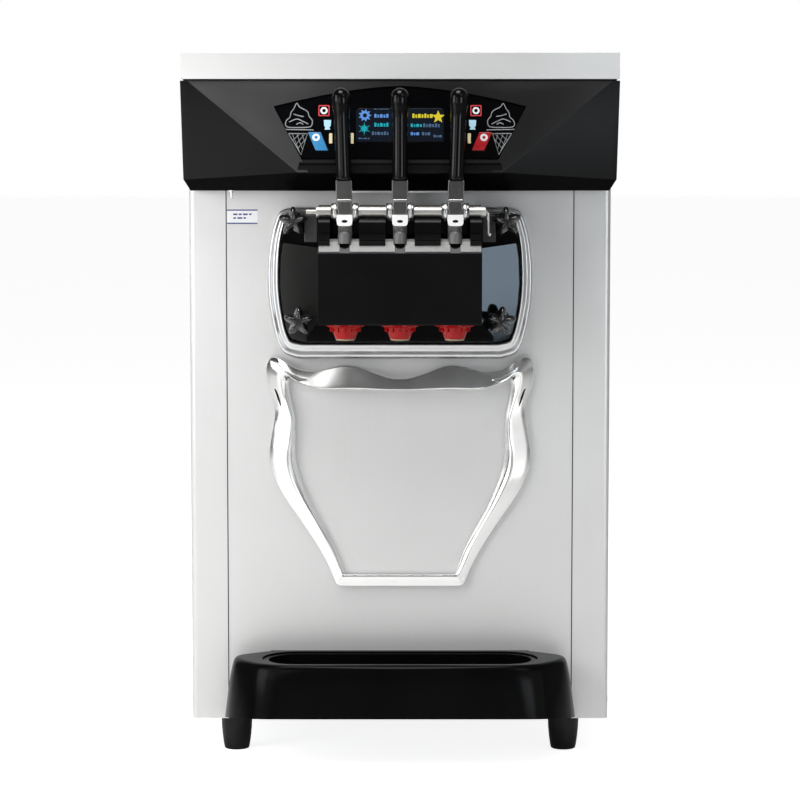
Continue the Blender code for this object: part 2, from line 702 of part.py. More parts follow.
# ---- Trim and drip tray ----
def trim_stations():
    """Left half of the bright frame, from the top centre round to the bottom centre.

    Each station is outer x, z, inner x, z, then how far the outer edge, ridge and inner edge
    stand out from the panel."""
    return [
        (0.0000, 0.4770, 0.0000, 0.4620, 0.024, 0.032, 0.018),
        (-0.0300, 0.4860, -0.0330, 0.4618, 0.022, 0.031, 0.017),
        (-0.0680, 0.4935, -0.0680, 0.4622, 0.020, 0.029, 0.016),
        (-0.1060, 0.4865, -0.1020, 0.4640, 0.018, 0.027, 0.014),
        (-0.1440, 0.4985, -0.1290, 0.4710, 0.014, 0.025, 0.010),
        (-0.1640, 0.5010, -0.1355, 0.4640, 0.008, 0.021, 0.008),
        (-0.1665, 0.4780, -0.1340, 0.4500, 0.006, 0.017, 0.007),
        (-0.1565, 0.4370, -0.1300, 0.4300, 0.006, 0.013, 0.006),
        (-0.1620, 0.4050, -0.1300, 0.3980, 0.006, 0.015, 0.006),
        (-0.1605, 0.3640, -0.1290, 0.3700, 0.006, 0.014, 0.006),
        (-0.1340, 0.3190, -0.1090, 0.3270, 0.005, 0.012, 0.005),
        (-0.1070, 0.2810, -0.0870, 0.2830, 0.005, 0.011, 0.005),
        (-0.0905, 0.2520, -0.0740, 0.2520, 0.005, 0.010, 0.005),
        (-0.0800, 0.2250, -0.0680, 0.2345, 0.005, 0.009, 0.005),
        (-0.0660, 0.2165, -0.0600, 0.2310, 0.005, 0.009, 0.005),
        (0.0000, 0.2160, 0.0000, 0.2310, 0.005, 0.009, 0.005),
    ]


def trim_loop(station):
    """The frame's cross-section at a station, as five points round it."""
    ox, oz, ix, iz, outer, ridge, inner = station
    outside, inside = Vector((ox, 0, oz)), Vector((ix, 0, iz))
    crest = outside.lerp(inside, 0.55)
    return [
        (outside.x, -GAP, outside.z),
        (outside.x, -outer, outside.z),
        (crest.x, -ridge, crest.z),
        (inside.x, -inner, inside.z),
        (inside.x, -GAP, inside.z),
    ]


def panel_trim():
    left = smooth(trim_stations(), 2)
    loops = [trim_loop(s) for s in left]
    right = [[(-x, y, z) for x, y, z in loop] for loop in reversed(loops[1:-1])]
    part("panel_trim", loft(loops + right, cap=False), "chrome")


def tray_outlines(inset=0.0):
    """Half outlines of the drip tray at its top and its bottom, from the wall to the middle."""
    i = inset
    top = [(0.1610 - i, 0), (0.2030 - i, -0.0280 + i), (0.2050 - i, -0.0430), (0.1960 - i, -0.0660)]
    top += [(0.1760 - i, -0.0890 + i), (0.1440 - i, -0.1020 + i), (0.1080 - i, -0.1050 + i)]
    low = [(0.2190 - i, 0), (0.2190 - i, -0.0180), (0.2150 - i, -0.0420), (0.2060 - i, -0.0680)]
    low += [(0.1880 - i, -0.0980 + i), (0.1620 - i, -0.1130 + i), (0.1200 - i, -FRONT_REACH + i)]
    return top, low


def tray_solid(inset, top_z, bottom_z):
    """The tray's body; its lower edge drops by TRAY_DROP from the front back to the wall."""
    top, low = tray_outlines(inset)
    loops = []
    for blend, z in ((0.0, top_z), (0.10, top_z - 0.004), (1.0, bottom_z)):
        half = []
        for a, b in zip(top, low):
            half.append((a[0] + (b[0] - a[0]) * blend, a[1] + (b[1] - a[1]) * blend))
        outline = [(-x, y) for x, y in half] + [(x, y) for x, y in reversed(half)]
        drop = TRAY_DROP if blend == 1.0 else 0.0
        loops.append([(x, y - 0.0008, z - drop * (1 + y / FRONT_REACH)) for x, y in outline])
    return loft(loops)


def drip_tray():
    tray = tray_solid(0.0, TRAY_TOP, TRAY_BOTTOM)
    tray = moved(tray, Matrix.Translation((0, 0.0008, 0)))
    tray = cut(tray, box((-0.3, -GAP, 0), (0.3, 0.1, 0.3)))
    hollow = tray_solid(0.003, TRAY_TOP - 0.010, TRAY_BOTTOM - 0.01)
    tray = cut(tray, moved(hollow, Matrix.Translation((0, -0.003, 0))))
    ledge = plate([stadium(WELL_HALF, WELL_R + 0.0045, WELL_Y)], 0.008, lying(TRAY_TOP))
    well = plate([stadium(WELL_HALF, WELL_R, WELL_Y)], 0.1, lying(TRAY_TOP))
    part("drip_tray", cut(tray, ledge, well), "black_gloss")

    lip_top = TRAY_TOP - 0.004 + 0.0022
    lip = plate([stadium(WELL_HALF, WELL_R + 0.0038, WELL_Y)], 0.0018, lying(lip_top - 0.0009))
    cup = plate([stadium(WELL_HALF, WELL_R - 0.0010, WELL_Y)], 0.046, lying(lip_top - 0.0005 - 0.023))
    hollow = plate([stadium(WELL_HALF, WELL_R - 0.0032, WELL_Y)], 0.046, lying(lip_top + 0.0005 - 0.0205))
    part("drip_pan", cut(joined(lip, cup), hollow), "black_satin")


# ---- Hoppers and freezing cylinders ----
FEED_Y = 0.300


def hopper(name, x, outlet_x):
    rim = box((x - 0.0985, 0.0915, DECK_FLOOR + GAP), (x + 0.0985, 0.4215, DECK_FLOOR + 0.0020))
    tub = box((x - 0.092, 0.098, 0.706), (x + 0.092, 0.415, DECK_FLOOR + 0.03), 0.012, 2)
    above = box((x - 0.1, 0.09, DECK_FLOOR + 0.0015), (x + 0.1, 0.43, DECK_FLOOR + 0.04))
    tub = joined(cut(tub, above), rim)
    inside = box((x - 0.090, 0.100, 0.708), (x + 0.090, 0.413, DECK_FLOOR + 0.04), 0.011, 2)
    drain = rod(0.0080, (outlet_x, FEED_Y, 0.69), (outlet_x, FEED_Y, 0.72), 12)
    part(name, cut(tub, inside, drain), "stainless")


def air_tube(name, x):
    """The feed and air metering tube, standing in the hopper's outlet."""
    profile = [(0.0058, 0.842), (0.0075, 0.842), (0.0075, 0.700), (0.0058, 0.700)]
    part(name, turned(profile, (x, FEED_Y, 0), (0, 0, 1), 16, closed=True), "nylon_white")


def hopper_lid():
    """One lid over both hoppers, with a finger scoop at each side."""
    low, high = (-0.2205, 0.0635, DECK_FLOOR + 0.0024), (0.2205, 0.4505, DECK_TOP - 0.0012)
    lid = box(low, high, 0.003, 1)
    lid = cut(lid, box((-0.214, 0.070, 0.85), (0.214, 0.444, DECK_TOP - 0.0035)))
    for side in (-1, 1):
        x = side * 0.150
        scoop = box((x - 0.035, 0.20, DECK_TOP - 0.008), (x + 0.035, 0.31, 0.9))
        well = box((x - 0.037, 0.198, DECK_TOP - 0.010), (x + 0.037, 0.312, DECK_TOP - 0.003))
        lid = cut(joined(lid, well), scoop)
    part("hopper_lid", lid, "black_satin")


def freezing_cylinder(name, x):
    front, rear = CYLINDER_Y
    inner = CYLINDER_R - CYLINDER_WALL
    profile = [(inner, front), (CYLINDER_R, front), (CYLINDER_R, rear), (0.0095, rear)]
    profile += [(0.0095, rear - 0.005), (inner, rear - 0.005)]
    barrel = turned(profile, (x, 0, CYLINDER_Z), (0, 1, 0), 24, closed=True)
    neck = rod(0.0105, (x, FEED_Y, CYLINDER_Z + CYLINDER_R - 0.003), (x, FEED_Y, 0.6985), 16)
    feed = rod(0.0080, (x, FEED_Y, CYLINDER_Z + 0.030), (x, FEED_Y, 0.71), 16)
    part(name, cut(joined(barrel, neck), feed), "stainless")


def helical_blade(x, front, rear):
    """A thin blade winding round the shaft, with both its faces split the same way."""
    turns, steps = 2.5, 36
    section = [(0.006, -0.002), (0.0475, -0.0014), (0.0475, 0.0014), (0.006, 0.002)]
    bm = bmesh.new()
    rows = []
    for i in range(steps + 1):
        share = i / steps
        angle = 2 * math.pi * turns * share
        centre = Vector((x, front + (rear - front) * share, CYLINDER_Z))
        radial = Vector((math.cos(angle), 0, math.sin(angle)))
        points = [centre + radial * r + Vector((0, d, 0)) for r, d in section]
        rows.append([bm.verts.new(p) for p in points])
    for a, b in zip(rows, rows[1:]):
        for i, j in ((0, 1), (1, 2), (3, 0)):
            bm.faces.new((a[i], a[j], b[j]))
            bm.faces.new((a[i], b[j], b[i]))
        bm.faces.new((a[2], a[3], b[2]))
        bm.faces.new((a[3], b[3], b[2]))
    bm.faces.new(rows[0])
    bm.faces.new(reversed(rows[-1]))
    return from_bmesh(bm)


def beater(name, x):
    """A shaft with one long helical blade that scrapes the cylinder wall."""
    front, rear = 0.016, 0.348
    shaft = rod(0.009, (x, front, CYLINDER_Z), (x, rear, CYLINDER_Z), 16)
    drive = rod(0.0085, (x, rear - 0.005, CYLINDER_Z), (x, 0.3695, CYLINDER_Z), 16)
    blade = helical_blade(x, front + 0.006, rear - 0.006)
    part(name, joined(shaft, blade, drive), "nylon_white", (x, front, CYLINDER_Z))


# ---- Drive ----
def gearbox(name, x):
    case = box((x - 0.048, 0.3705, 0.5545), (x + 0.048, 0.462, 0.655), 0.004, 1)
    shaft = rod(0.008, (x, 0.45, CYLINDER_Z), (x, 0.486, CYLINDER_Z), 12)
    part(name, joined(case, shaft), "painted_steel")


def pulley_profile(radius, width, bore=0.0):
    half, groove = width / 2, radius - 0.006
    outer = [(radius, half), (radius, half - 0.002), (groove, 0.003), (groove, -0.003)]
    outer += [(radius, -half + 0.002), (radius, -half)]
    return [(bore, half)] + outer + [(bore, -half)]


def gearbox_pulley(name, x):
    centre = (x, PULLEY_Y, CYLINDER_Z)
    wheel = turned(pulley_profile(0.045, 0.018), centre, (0, 1, 0), 20)
    part(name, wheel, "painted_steel", centre)


def motor():
    body = rod(0.062, (MOTOR_X, 0.24, MOTOR_Z), (MOTOR_X, 0.455, MOTOR_Z), 24)
    shaft = rod(0.008, (MOTOR_X, 0.45, MOTOR_Z), (MOTOR_X, 0.4975, MOTOR_Z), 12)
    seat = box((MOTOR_X - 0.055, 0.27, BODY_BOTTOM + 0.0025), (MOTOR_X + 0.055, 0.425, MOTOR_Z - 0.03))
    terminal = box((MOTOR_X - 0.030, 0.30, MOTOR_Z + 0.05), (MOTOR_X + 0.030, 0.38, MOTOR_Z + 0.085))
    part("drive_motor", joined(body, shaft, seat, terminal), "painted_steel")
    centre = (MOTOR_X, PULLEY_Y, MOTOR_Z)
    wheel = turned(pulley_profile(0.026, 0.018), centre, (0, 1, 0), 16)
    part("motor_pulley", wheel, "painted_steel", centre)


def convex_outline(points):
    """The points' convex outline, anticlockwise."""
    ordered = sorted(set(points))

    def chain(run):
        found = []
        for p in run:
            while len(found) > 1:
                (ax, ay), (bx, by) = found[-2:]
                if (bx - ax) * (p[1] - ay) - (by - ay) * (p[0] - ax) > 0:
                    break
                found.pop()
            found.append(p)
        return found[:-1]

    return chain(ordered) + chain(reversed(ordered))


def drive_belt():
    """One belt wrapped round the motor pulley and both gearbox pulleys."""
    wheels = [(MOTOR_X, MOTOR_Z, 0.0205), (-CYLINDER_X, CYLINDER_Z, 0.0395), (CYLINDER_X, CYLINDER_Z, 0.0395)]

    def wrap(extra):
        points = []
        for x, z, r in wheels:
            points += [(round(a, 6), round(b, 6)) for a, b in arc((x, z), r + extra, 0, 348, 29)]
        return convex_outline(points)

    part("drive_belt", plate([wrap(0.0042), wrap(0.0)], 0.0045, upright(PULLEY_Y)), "rubber")


# ---- Refrigeration and electrics ----
def compressor():
    base = BODY_BOTTOM + 0.0025
    profile = [(0, 0.268)] + [(x, z) for x, z in arc((0.020, 0.213), 0.055, 90, 0, 4)]
    profile += [(0.078, 0.185), (0.078, 0.180), (0.074, 0.175), (0.074, 0.095), (0.060, 0.075)]
    profile += [(0, 0.075)]
    can = turned(profile, (0.015, 0.150, 0), (0, 0, 1), 20)
    feet = box((-0.075, 0.075, base), (0.105, 0.225, base + 0.003))
    stem = rod(0.045, (0.015, 0.150, base + 0.001), (0.015, 0.150, 0.09), 16)
    part("compressor", joined(can, feet, stem), "black_satin")


def condenser():
    low, high = (-0.238, 0.215, BODY_BOTTOM + 0.0025), (-0.196, 0.505, 0.440)
    core = box(low, high)
    for row in range(9):
        z = 0.085 + 0.038 * row
        core = cut(core, box((-0.205, 0.225, z), (-0.19, 0.495, z + 0.020)))
    part("condenser", core, "copper_fins")


FAN_X, FAN_Y, FAN_Z = -0.168, 0.360, 0.255


def fan():
    bracket_x = FAN_X + 0.062
    body = rod(0.038, (FAN_X + 0.022, FAN_Y, FAN_Z), (bracket_x, FAN_Y, FAN_Z), 20)
    post = box(
        (bracket_x - 0.006, FAN_Y - 0.02, BODY_BOTTOM + 0.0025), (bracket_x + 0.004, FAN_Y + 0.02, FAN_Z)
    )
    spindle = rod(0.004, (FAN_X + 0.013, FAN_Y, FAN_Z), (FAN_X + 0.03, FAN_Y, FAN_Z), 12)
    part("fan_motor", joined(body, post, spindle), "painted_steel")
    wheel = rod(0.028, (FAN_X - 0.012, FAN_Y, FAN_Z), (FAN_X + 0.0125, FAN_Y, FAN_Z), 20)
    for k in range(5):
        blade = box((-0.0012, -0.026, 0.020), (0.0012, 0.026, 0.112))
        pitch = Matrix.Rotation(math.radians(62), 4, "Z")
        round_hub = Matrix.Rotation(2 * math.pi * k / 5, 4, "X")
        place = Matrix.Translation((FAN_X, FAN_Y, FAN_Z)) @ round_hub @ pitch
        turn_flat = Matrix.Rotation(math.radians(-38), 4, "Z")
        wheel = joined(wheel, moved(blade, place @ turn_flat))
    part("fan_blade", wheel, "black_satin", (FAN_X, FAN_Y, FAN_Z))


def electrics():
    box_low, box_high = (-0.235, 0.022, 0.190), (-0.075, 0.070, 0.470)
    part("control_box", box(box_low, box_high, 0.003, 1), "painted_steel")
    face = BODY_REAR + GAP
    profile = [(0, REAR_REACH), (0.0055, REAR_REACH), (0.0100, face + 0.008), (0.0150, face + 0.006)]
    profile += [(0.0150, face), (0.0098, face), (0.0098, BODY_REAR - 0.010), (0, BODY_REAR - 0.010)]
    part("cord_gland", turned(profile, (0.19, 0, 0.105), (0, 1, 0), 20), "rubber")


# ---- Assembly ----
chassis()
front_panel()
side_panel("left_side_panel", -1)
side_panel("right_side_panel", 1)
rear_panel()
top_deck()
for foot_name, foot_x, foot_y in (
    ("front_left_foot", -0.2075, 0.045),
    ("front_right_foot", 0.2075, 0.045),
    ("rear_left_foot", -0.2075, 0.560),
    ("rear_right_foot", 0.2075, 0.560),
):
    foot(foot_name, foot_x, foot_y)

head_cover()
controls()

door_surround()
faceplate()
dispensing_block()
for place_name, (knob_x, knob_z) in KNOB_PLACES.items():
    star_knob("star_knob_" + place_name, knob_x, knob_z)
for side_name, valve_x in zip(SIDES, VALVE_X):
    plunger("valve_plunger_" + side_name, valve_x)
    lever("handle_lever_" + side_name, valve_x)
    grip("handle_grip_" + side_name, valve_x)
    nozzle("star_nozzle_" + side_name, valve_x)
pivot_pin()

panel_trim()
drip_tray()

for tub_name, tub_x in (("left", -CYLINDER_X), ("right", CYLINDER_X)):
    hopper("hopper_" + tub_name, math.copysign(0.113, tub_x), tub_x)
    air_tube("air_tube_" + tub_name, tub_x)
    freezing_cylinder("freezing_cylinder_" + tub_name, tub_x)
    beater("beater_" + tub_name, tub_x)
    gearbox("gearbox_" + tub_name, tub_x)
    gearbox_pulley("gearbox_pulley_" + tub_name, tub_x)
hopper_lid()

motor()
drive_belt()
compressor()
condenser()
fan()
electrics()
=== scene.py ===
import math

import bmesh
import bpy
from mathutils import Matrix, Vector


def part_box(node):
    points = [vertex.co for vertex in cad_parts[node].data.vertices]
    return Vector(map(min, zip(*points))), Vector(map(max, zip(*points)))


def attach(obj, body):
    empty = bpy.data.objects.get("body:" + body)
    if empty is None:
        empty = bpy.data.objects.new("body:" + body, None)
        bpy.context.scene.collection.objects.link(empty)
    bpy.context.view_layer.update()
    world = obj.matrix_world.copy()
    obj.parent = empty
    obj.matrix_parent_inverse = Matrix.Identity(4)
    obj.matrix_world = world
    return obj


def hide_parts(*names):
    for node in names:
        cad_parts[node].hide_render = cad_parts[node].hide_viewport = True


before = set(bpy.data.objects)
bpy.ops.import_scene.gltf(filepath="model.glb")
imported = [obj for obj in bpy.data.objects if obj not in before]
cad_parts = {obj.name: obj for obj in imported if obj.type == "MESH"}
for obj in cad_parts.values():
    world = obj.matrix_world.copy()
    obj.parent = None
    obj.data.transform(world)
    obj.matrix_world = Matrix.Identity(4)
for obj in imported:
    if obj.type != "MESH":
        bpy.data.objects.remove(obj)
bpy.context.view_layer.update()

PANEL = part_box("front_panel")[0].y  # the front panel's outer face; every y below is counted from it
LCR = (("left", -0.0665), ("centre", 0.0), ("right", 0.0665))  # the three handles
PIN_Y, PIN_Z, PLUNGER_Y = -0.092, 0.6843, -0.066
PIN_HOLE, BOSS_RADIUS = 0.0074, 0.012
SLOPE = math.atan2(0.024, 0.111)  # of the hood's upper face
FACE_TOP_Y, FACE_TOP_Z = -0.052, 0.842
KEY_X, KEY_Y = 0.099, -0.0745  # on that face
KNOBS = {
    "upper_left": (-0.13, 0.6716), "upper_right": (0.13, 0.6716),
    "lower_left": (-0.1235, 0.5503), "lower_right": (0.1235, 0.5503),
}
CAMERA_DISTANCE, CAMERA_HEIGHT, CAMERA_PITCH, LENS = 3.5, 0.7817, 5.44, 127.3


# ---------------------------------------------------------------- materials
def feed(tree, node, inputs):
    """Links an input that is given a socket, and sets any other."""
    for key, value in inputs.items():
        if isinstance(value, bpy.types.NodeSocket):
            tree.links.new(value, node.inputs[key])
        else:
            node.inputs[key].default_value = value


def add_node(tree, kind, inputs, **settings):
    """The first output of a new node."""
    node = tree.nodes.new("ShaderNode" + kind)
    for key, value in settings.items():
        setattr(node, key, value)
    feed(tree, node, inputs)
    return node.outputs[0]


def blended(tree, factor, a, b):
    """A colour between two colours."""
    mix = tree.nodes.new("ShaderNodeMix")
    mix.data_type = "RGBA"
    feed(tree, mix, {"Factor": factor, "A": a, "B": b})
    return mix.outputs["Result"]


def here(tree):
    """The point's place in the object's own coordinates."""
    return tree.nodes.new("ShaderNodeTexCoord").outputs["Object"]


def surface(
    name, color, rough, metallic=0.0, tint=0.06, rough_vary=0.05, grain=300, bump=0.05, patch=6.0,
    shine=0.5, painted_light_fade=None, **sockets,
):
    """A Principled surface whose grain, tone and gloss vary. Constant sockets are set directly.

    color is a grey level or a colour, grain is one scale or three, shine is the specular level.
    fade is (x0, x1, color): from x0 to x1 across the object the colour turns to that one.
    """
    color = (color,) * 3 if isinstance(color, float) else color
    grain = (grain,) * 3 if isinstance(grain, int) else grain
    m = bpy.data.materials.new(name)
    m.use_nodes = True
    tree = m.node_tree
    shader = tree.nodes["Principled BSDF"]
    constants = {socket.replace("_", " "): value for socket, value in sockets.items()}
    feed(tree, shader, {"Metallic": metallic, "Specular IOR Level": shine, **constants})

    def noise(scale, detail, roughness):
        stretched = add_node(tree, "Mapping", {"Vector": here(tree), "Scale": scale})
        inputs = {"Vector": stretched, "Scale": 1.0, "Detail": detail, "Roughness": roughness}
        return add_node(tree, "TexNoise", inputs)

    def ranged(value, low, high):
        inputs = {"Value": value, "From Min": 0.3, "From Max": 0.7, "To Min": low, "To Max": high}
        return add_node(tree, "MapRange", inputs)

    grains = noise(grain, 3.0, 0.5)
    patches = noise((patch, patch, patch), 4.0, 0.6)
    dark = [c * (1 - tint) for c in color]
    light = [min(1.0, c * (1 + tint) + tint * 0.004) for c in color]
    share = {0: grains, 1: 0.6, 2: ranged(patches, -0.1, 0.5)}
    share = add_node(tree, "Math", share, operation="MULTIPLY_ADD")
    tone = blended(tree, share, (*dark, 1), (*light, 1))
    # a shift of colour across the object, used to paint light and shade
    if painted_light_fade:
        start, end, other = painted_light_fade
        place = add_node(tree, "SeparateXYZ", {"Vector": here(tree)})
        inputs = {"Value": place, "From Min": start, "From Max": end}
        across = add_node(tree, "MapRange", inputs, interpolation_type="SMOOTHSTEP")
        tone = blended(tree, across, tone, (*other, 1))
    gloss = {
        0: ranged(grains, rough - rough_vary, rough + rough_vary),
        1: ranged(patches, -rough_vary * 0.6, rough_vary * 0.6),
    }
    gloss = add_node(tree, "Math", gloss, operation="ADD", use_clamp=True)
    feed(tree, shader, {"Base Color": tone, "Roughness": gloss})
    if bump:
        relief = {"Strength": bump, "Distance": 0.0003, "Height": grains}
        feed(tree, shader, {"Normal": add_node(tree, "Bump", relief)})
    return m


def glowing(name, color, strength):
    """A lit read-out: its light is broken up by a fine dot grid."""
    m = surface(name, [c * 0.3 for c in color], 0.2, bump=0)
    tree = m.node_tree
    grid = tree.nodes.new("ShaderNodeTexChecker")
    feed(tree, grid, {"Vector": here(tree), "Scale": 2600})
    inputs = {"Value": grid.outputs["Fac"], "To Min": strength * 0.6, "To Max": strength}
    level = add_node(tree, "MapRange", inputs)
    lit = {"Emission Color": (*color, 1), "Emission Strength": level}
    feed(tree, tree.nodes["Principled BSDF"], lit)
    return m


BRUSHED = {"tint": 0.05, "rough_vary": 0.04, "bump": 0.04, "Anisotropic": 0.4}
SATIN = {"tint": 0.2, "grain": 1500, "bump": 0.06, "patch": 9.0}
MOULDED = {"tint": 0.2, "rough_vary": 0.03, "grain": 700, "bump": 0.008, "patch": 12.0}
FINE_BLACK = {"tint": 0.2, "rough_vary": 0.04, "grain": 900, "bump": 0.02, "patch": 30.0}
PRINTED = {"tint": 0.08, "grain": 900, "bump": 0.0}
RUBBER = {"tint": 0.2, "rough_vary": 0.08, "grain": 1800, "bump": 0.12, "patch": 18.0}


def mixed(family, **changes):
    """A family of settings with some of them changed."""
    return {**family, **changes}


MAT = {
    # steel: colour, roughness, metallic, tint, its variation, grain, bump, patches
    "panel": surface(
        "brushed_panel", (0.66, 0.66, 0.655), 0.36, 0.35, grain=(2200, 2200, 5), patch=3.0,
        **mixed(BRUSHED, tint=0.045, rough_vary=0.035),
    ),
    "deck": surface(
        "brushed_deck", (0.7, 0.7, 0.69), 0.38, 0.55, grain=(6, 2200, 2200), patch=4.0, **BRUSHED
    ),
    "food": surface("food_steel", (0.66, 0.66, 0.67), 0.26, 1.0, 0.07, 0.05, (900, 40, 900), 0.04, 5.0),
    "chrome": surface("polished_trim", (0.82, 0.82, 0.81), 0.18, 1.0, 0.025, 0.03, 40, 0.01, 14.0),
    "bright": surface(
        "polished_steel", (0.72, 0.715, 0.7), 0.2, 1.0, 0.05, 0.04, (120, 120, 700), 0.02, 20.0
    ),
    "ring": surface("ring_steel", 0.66, 0.33, 1.0, 0.03, 0.03, 40, 0.01, 14.0),
    # near-black steel for the block's bright deck plates: painted shade
    "ledge": surface(
        "ledge_steel_painted_shade", (0.095, 0.095, 0.093), 0.4, 1.0, 0.05, 0.04, (900, 120, 120), 0.02, 20.0
    ),
    "tongue": surface("tongue_steel", (0.88, 0.88, 0.87), 0.38, 0.25, 0.03, 0.04, 600, 0.02, 30.0),
    "ears": surface("ear_steel", (0.62, 0.62, 0.61), 0.32, 1.0, 0.05, 0.04, 400, 0.02, 30.0),
    "pin": surface("turned_steel", (0.5, 0.49, 0.46), 0.42, 1.0, 0.08, 0.05, (2400, 60, 60), 0.03, 20.0),
    "lever": surface("lever_steel", (0.17, 0.17, 0.165), 0.3, 1.0, 0.04, 0.03, (900, 900, 40), 0.02, 20.0),
    "heel": surface("bumper_grey", (0.1, 0.1, 0.098), 0.4, 0.0, 0.05, 0.04, 500, 0.02, 25.0),
    # black plastics
    # the hood's black is greyer at the left and turns near black to the right: painted light falling from
    # the left
    "head": surface(
        "satin_black", 0.036, 0.36, painted_light_fade=(-0.2, 0.06, (0.005, 0.005, 0.005)), shine=0.42,
        **mixed(SATIN, tint=0.1),
    ),
    # darker, duller copies of the hood's black for its chin and low side facets: painted shade
    "chin": surface("satin_black_chin_painted_shade", 0.001, 0.34, shine=0.03, **mixed(SATIN, bump=0.05)),
    "low_facets": surface("satin_black_low_painted_shade", 0.004, 0.36, shine=0.12, **SATIN),
    "block": surface("block_black", (0.0025, 0.0025, 0.003), 0.22, shine=0.18, **MOULDED),
    "gloss": surface("gloss_black", (0.0025, 0.0025, 0.003), 0.09, shine=0.14, **MOULDED),
    # the two wings are one black plastic: the left one's greyer, duller copy is painted light, the right
    # one's bluish specular tint is a painted reflection
    "cheek": surface("left_wing_painted_light", (0.014, 0.014, 0.0135), 0.12, shine=0.14, **mixed(MOULDED, tint=0.1)),
    "wing": surface(
        "right_wing_painted_reflection", 0.003, 0.08, shine=0.45, Specular_Tint=(0.75, 0.88, 1.0, 1), **MOULDED,
    ),
    "fascia": surface(
        "fascia_black", (0.0015, 0.0015, 0.002), 0.1, shine=0.08, **mixed(MOULDED, grain=500, bump=0.006),
    ),
    "grip": surface("grip_black", 0.002, 0.15, shine=0.17, **mixed(FINE_BLACK, patch=25.0)),
    "knob": surface("knob_black", 0.012, 0.13, shine=0.9, **mixed(FINE_BLACK, rough_vary=0.03)),
    "shoulder": surface(
        "shoulder_black", (0.035, 0.035, 0.034), 0.3, shine=0.3, **mixed(FINE_BLACK, tint=0.1, bump=0.03),
    ),
    "saddle": surface("saddle_black", 0.003, 0.16, shine=0.09, **mixed(FINE_BLACK, bump=0.03)),
    "tray": surface("tray_black", 0.002, 0.19, shine=0.05, **mixed(FINE_BLACK, bump=0.015, patch=10.0)),
    "lid": surface("lid_black", (0.01, 0.01, 0.011), 0.45, 0.0, 0.2, 0.06, 1600, 0.15, 9.0),
    # other plastics and rubber
    "white": surface("white_acetal", (0.78, 0.78, 0.75), 0.33, 0.0, 0.04, 0.05, 600, 0.03, 20.0),
    "red": surface("nozzle_red", (0.34, 0.003, 0.003), 0.12, 0.0, 0.12, 0.03, 500, 0.015, 40.0, 0.25),
    "cream": surface("cream_ring", (0.3, 0.23, 0.14), 0.35, 0.0, 0.06, 0.05, 500, 0.02, 40.0),
    "rubber": surface("foot_rubber", 0.006, 0.4, shine=0.25, **RUBBER),
    "seal": surface("seal_rubber", 0.004, 0.55, shine=0.14, **RUBBER),
    "belt": surface("belt_rubber", 0.02, 0.62, **mixed(RUBBER, grain=900, bump=0.2)),
    "key_blue": surface("key_blue", (0.04, 0.22, 0.46), 0.26, 0.0, 0.1, 0.05, 900, 0.02, 30.0),
    "key_red": surface("key_red", (0.42, 0.01, 0.016), 0.26, 0.0, 0.1, 0.05, 900, 0.02, 30.0),
    # paint and machine metal
    "paint": surface("grey_paint", (0.23, 0.24, 0.25), 0.45, 0.2, 0.1, 0.07, 700, 0.08, 7.0),
    "iron": surface("machined_iron", (0.16, 0.16, 0.165), 0.4, 0.8, 0.14, 0.1, 900, 0.08, 10.0),
    "black_paint": surface("black_paint", (0.018, 0.018, 0.019), 0.33, 0.0, 0.2, 0.07, 700, 0.07, 9.0),
    "fins": surface("aluminium_fins", (0.62, 0.62, 0.63), 0.42, 1.0, 0.2, 0.1, (20, 2400, 20), 0.3, 12.0),
    # printing, label and display
    "line": surface("printed_grey", (0.3, 0.31, 0.32), 0.35, **PRINTED),
    "print_white": surface("printed_white", (0.8, 0.81, 0.82), 0.35, **mixed(PRINTED, tint=0.05)),
    "print_red": surface("printed_red", (0.55, 0.05, 0.055), 0.3, **PRINTED),
    "print_blue": surface("printed_blue", (0.42, 0.66, 0.78), 0.32, **PRINTED),
    "print_cream": surface("printed_cream", (0.72, 0.64, 0.38), 0.32, **PRINTED),
    "navy": surface("printed_navy", (0.045, 0.06, 0.22), 0.45, **mixed(PRINTED, tint=0.1)),
    "paper": surface("label_white", (0.8, 0.8, 0.82), 0.55, 0.0, 0.03, 0.05, 1200, 0.04),
    "screen": surface("screen_glass", (0.004, 0.007, 0.014), 0.08, 0.0, 0.2, 0.03, 300, 0.0),
    "lit_blue": glowing("lit_blue", (0.16, 0.4, 0.95), 0.55),
    "lit_teal": glowing("lit_teal", (0.02, 0.5, 0.6), 0.6),
    "lit_yellow": glowing("lit_yellow", (0.8, 0.66, 0.04), 0.75),
    "lit_grey": glowing("lit_grey", (0.12, 0.24, 0.42), 0.35),
}


# ---------------------------------------------------------------- shape helpers
def mm(*rows):
    """Points given in millimetres, in metres."""
    return [tuple(value / 1000 for value in row) for row in rows]


def made(bm, recalc=True):
    """The mesh as an object in the scene."""
    if recalc:
        bmesh.ops.recalc_face_normals(bm, faces=bm.faces)
    mesh = bpy.data.meshes.new("shape")
    bm.to_mesh(mesh)
    bm.free()
    obj = bpy.data.objects.new("shape", mesh)
    bpy.context.scene.collection.objects.link(obj)
    return obj


def baked(obj):
    """The object with its modifiers and its place in its mesh."""
    bpy.context.view_layer.update()
    graph = bpy.context.evaluated_depsgraph_get()
    mesh = bpy.data.meshes.new_from_object(obj.evaluated_get(graph))
    mesh.transform(obj.matrix_world)
    bpy.data.objects.remove(obj)
    bm = bmesh.new()
    bm.from_mesh(mesh)
    bmesh.ops.remove_doubles(bm, verts=bm.verts, dist=1e-6)
    return made(bm)


def bevelled(obj, width, segments=3, angle=30):
    change = obj.modifiers.new("edges", "BEVEL")
    change.width = width
    change.segments = segments
    change.limit_method = "ANGLE"
    change.angle_limit = math.radians(angle)
    change.use_clamp_overlap = True
    return baked(obj)


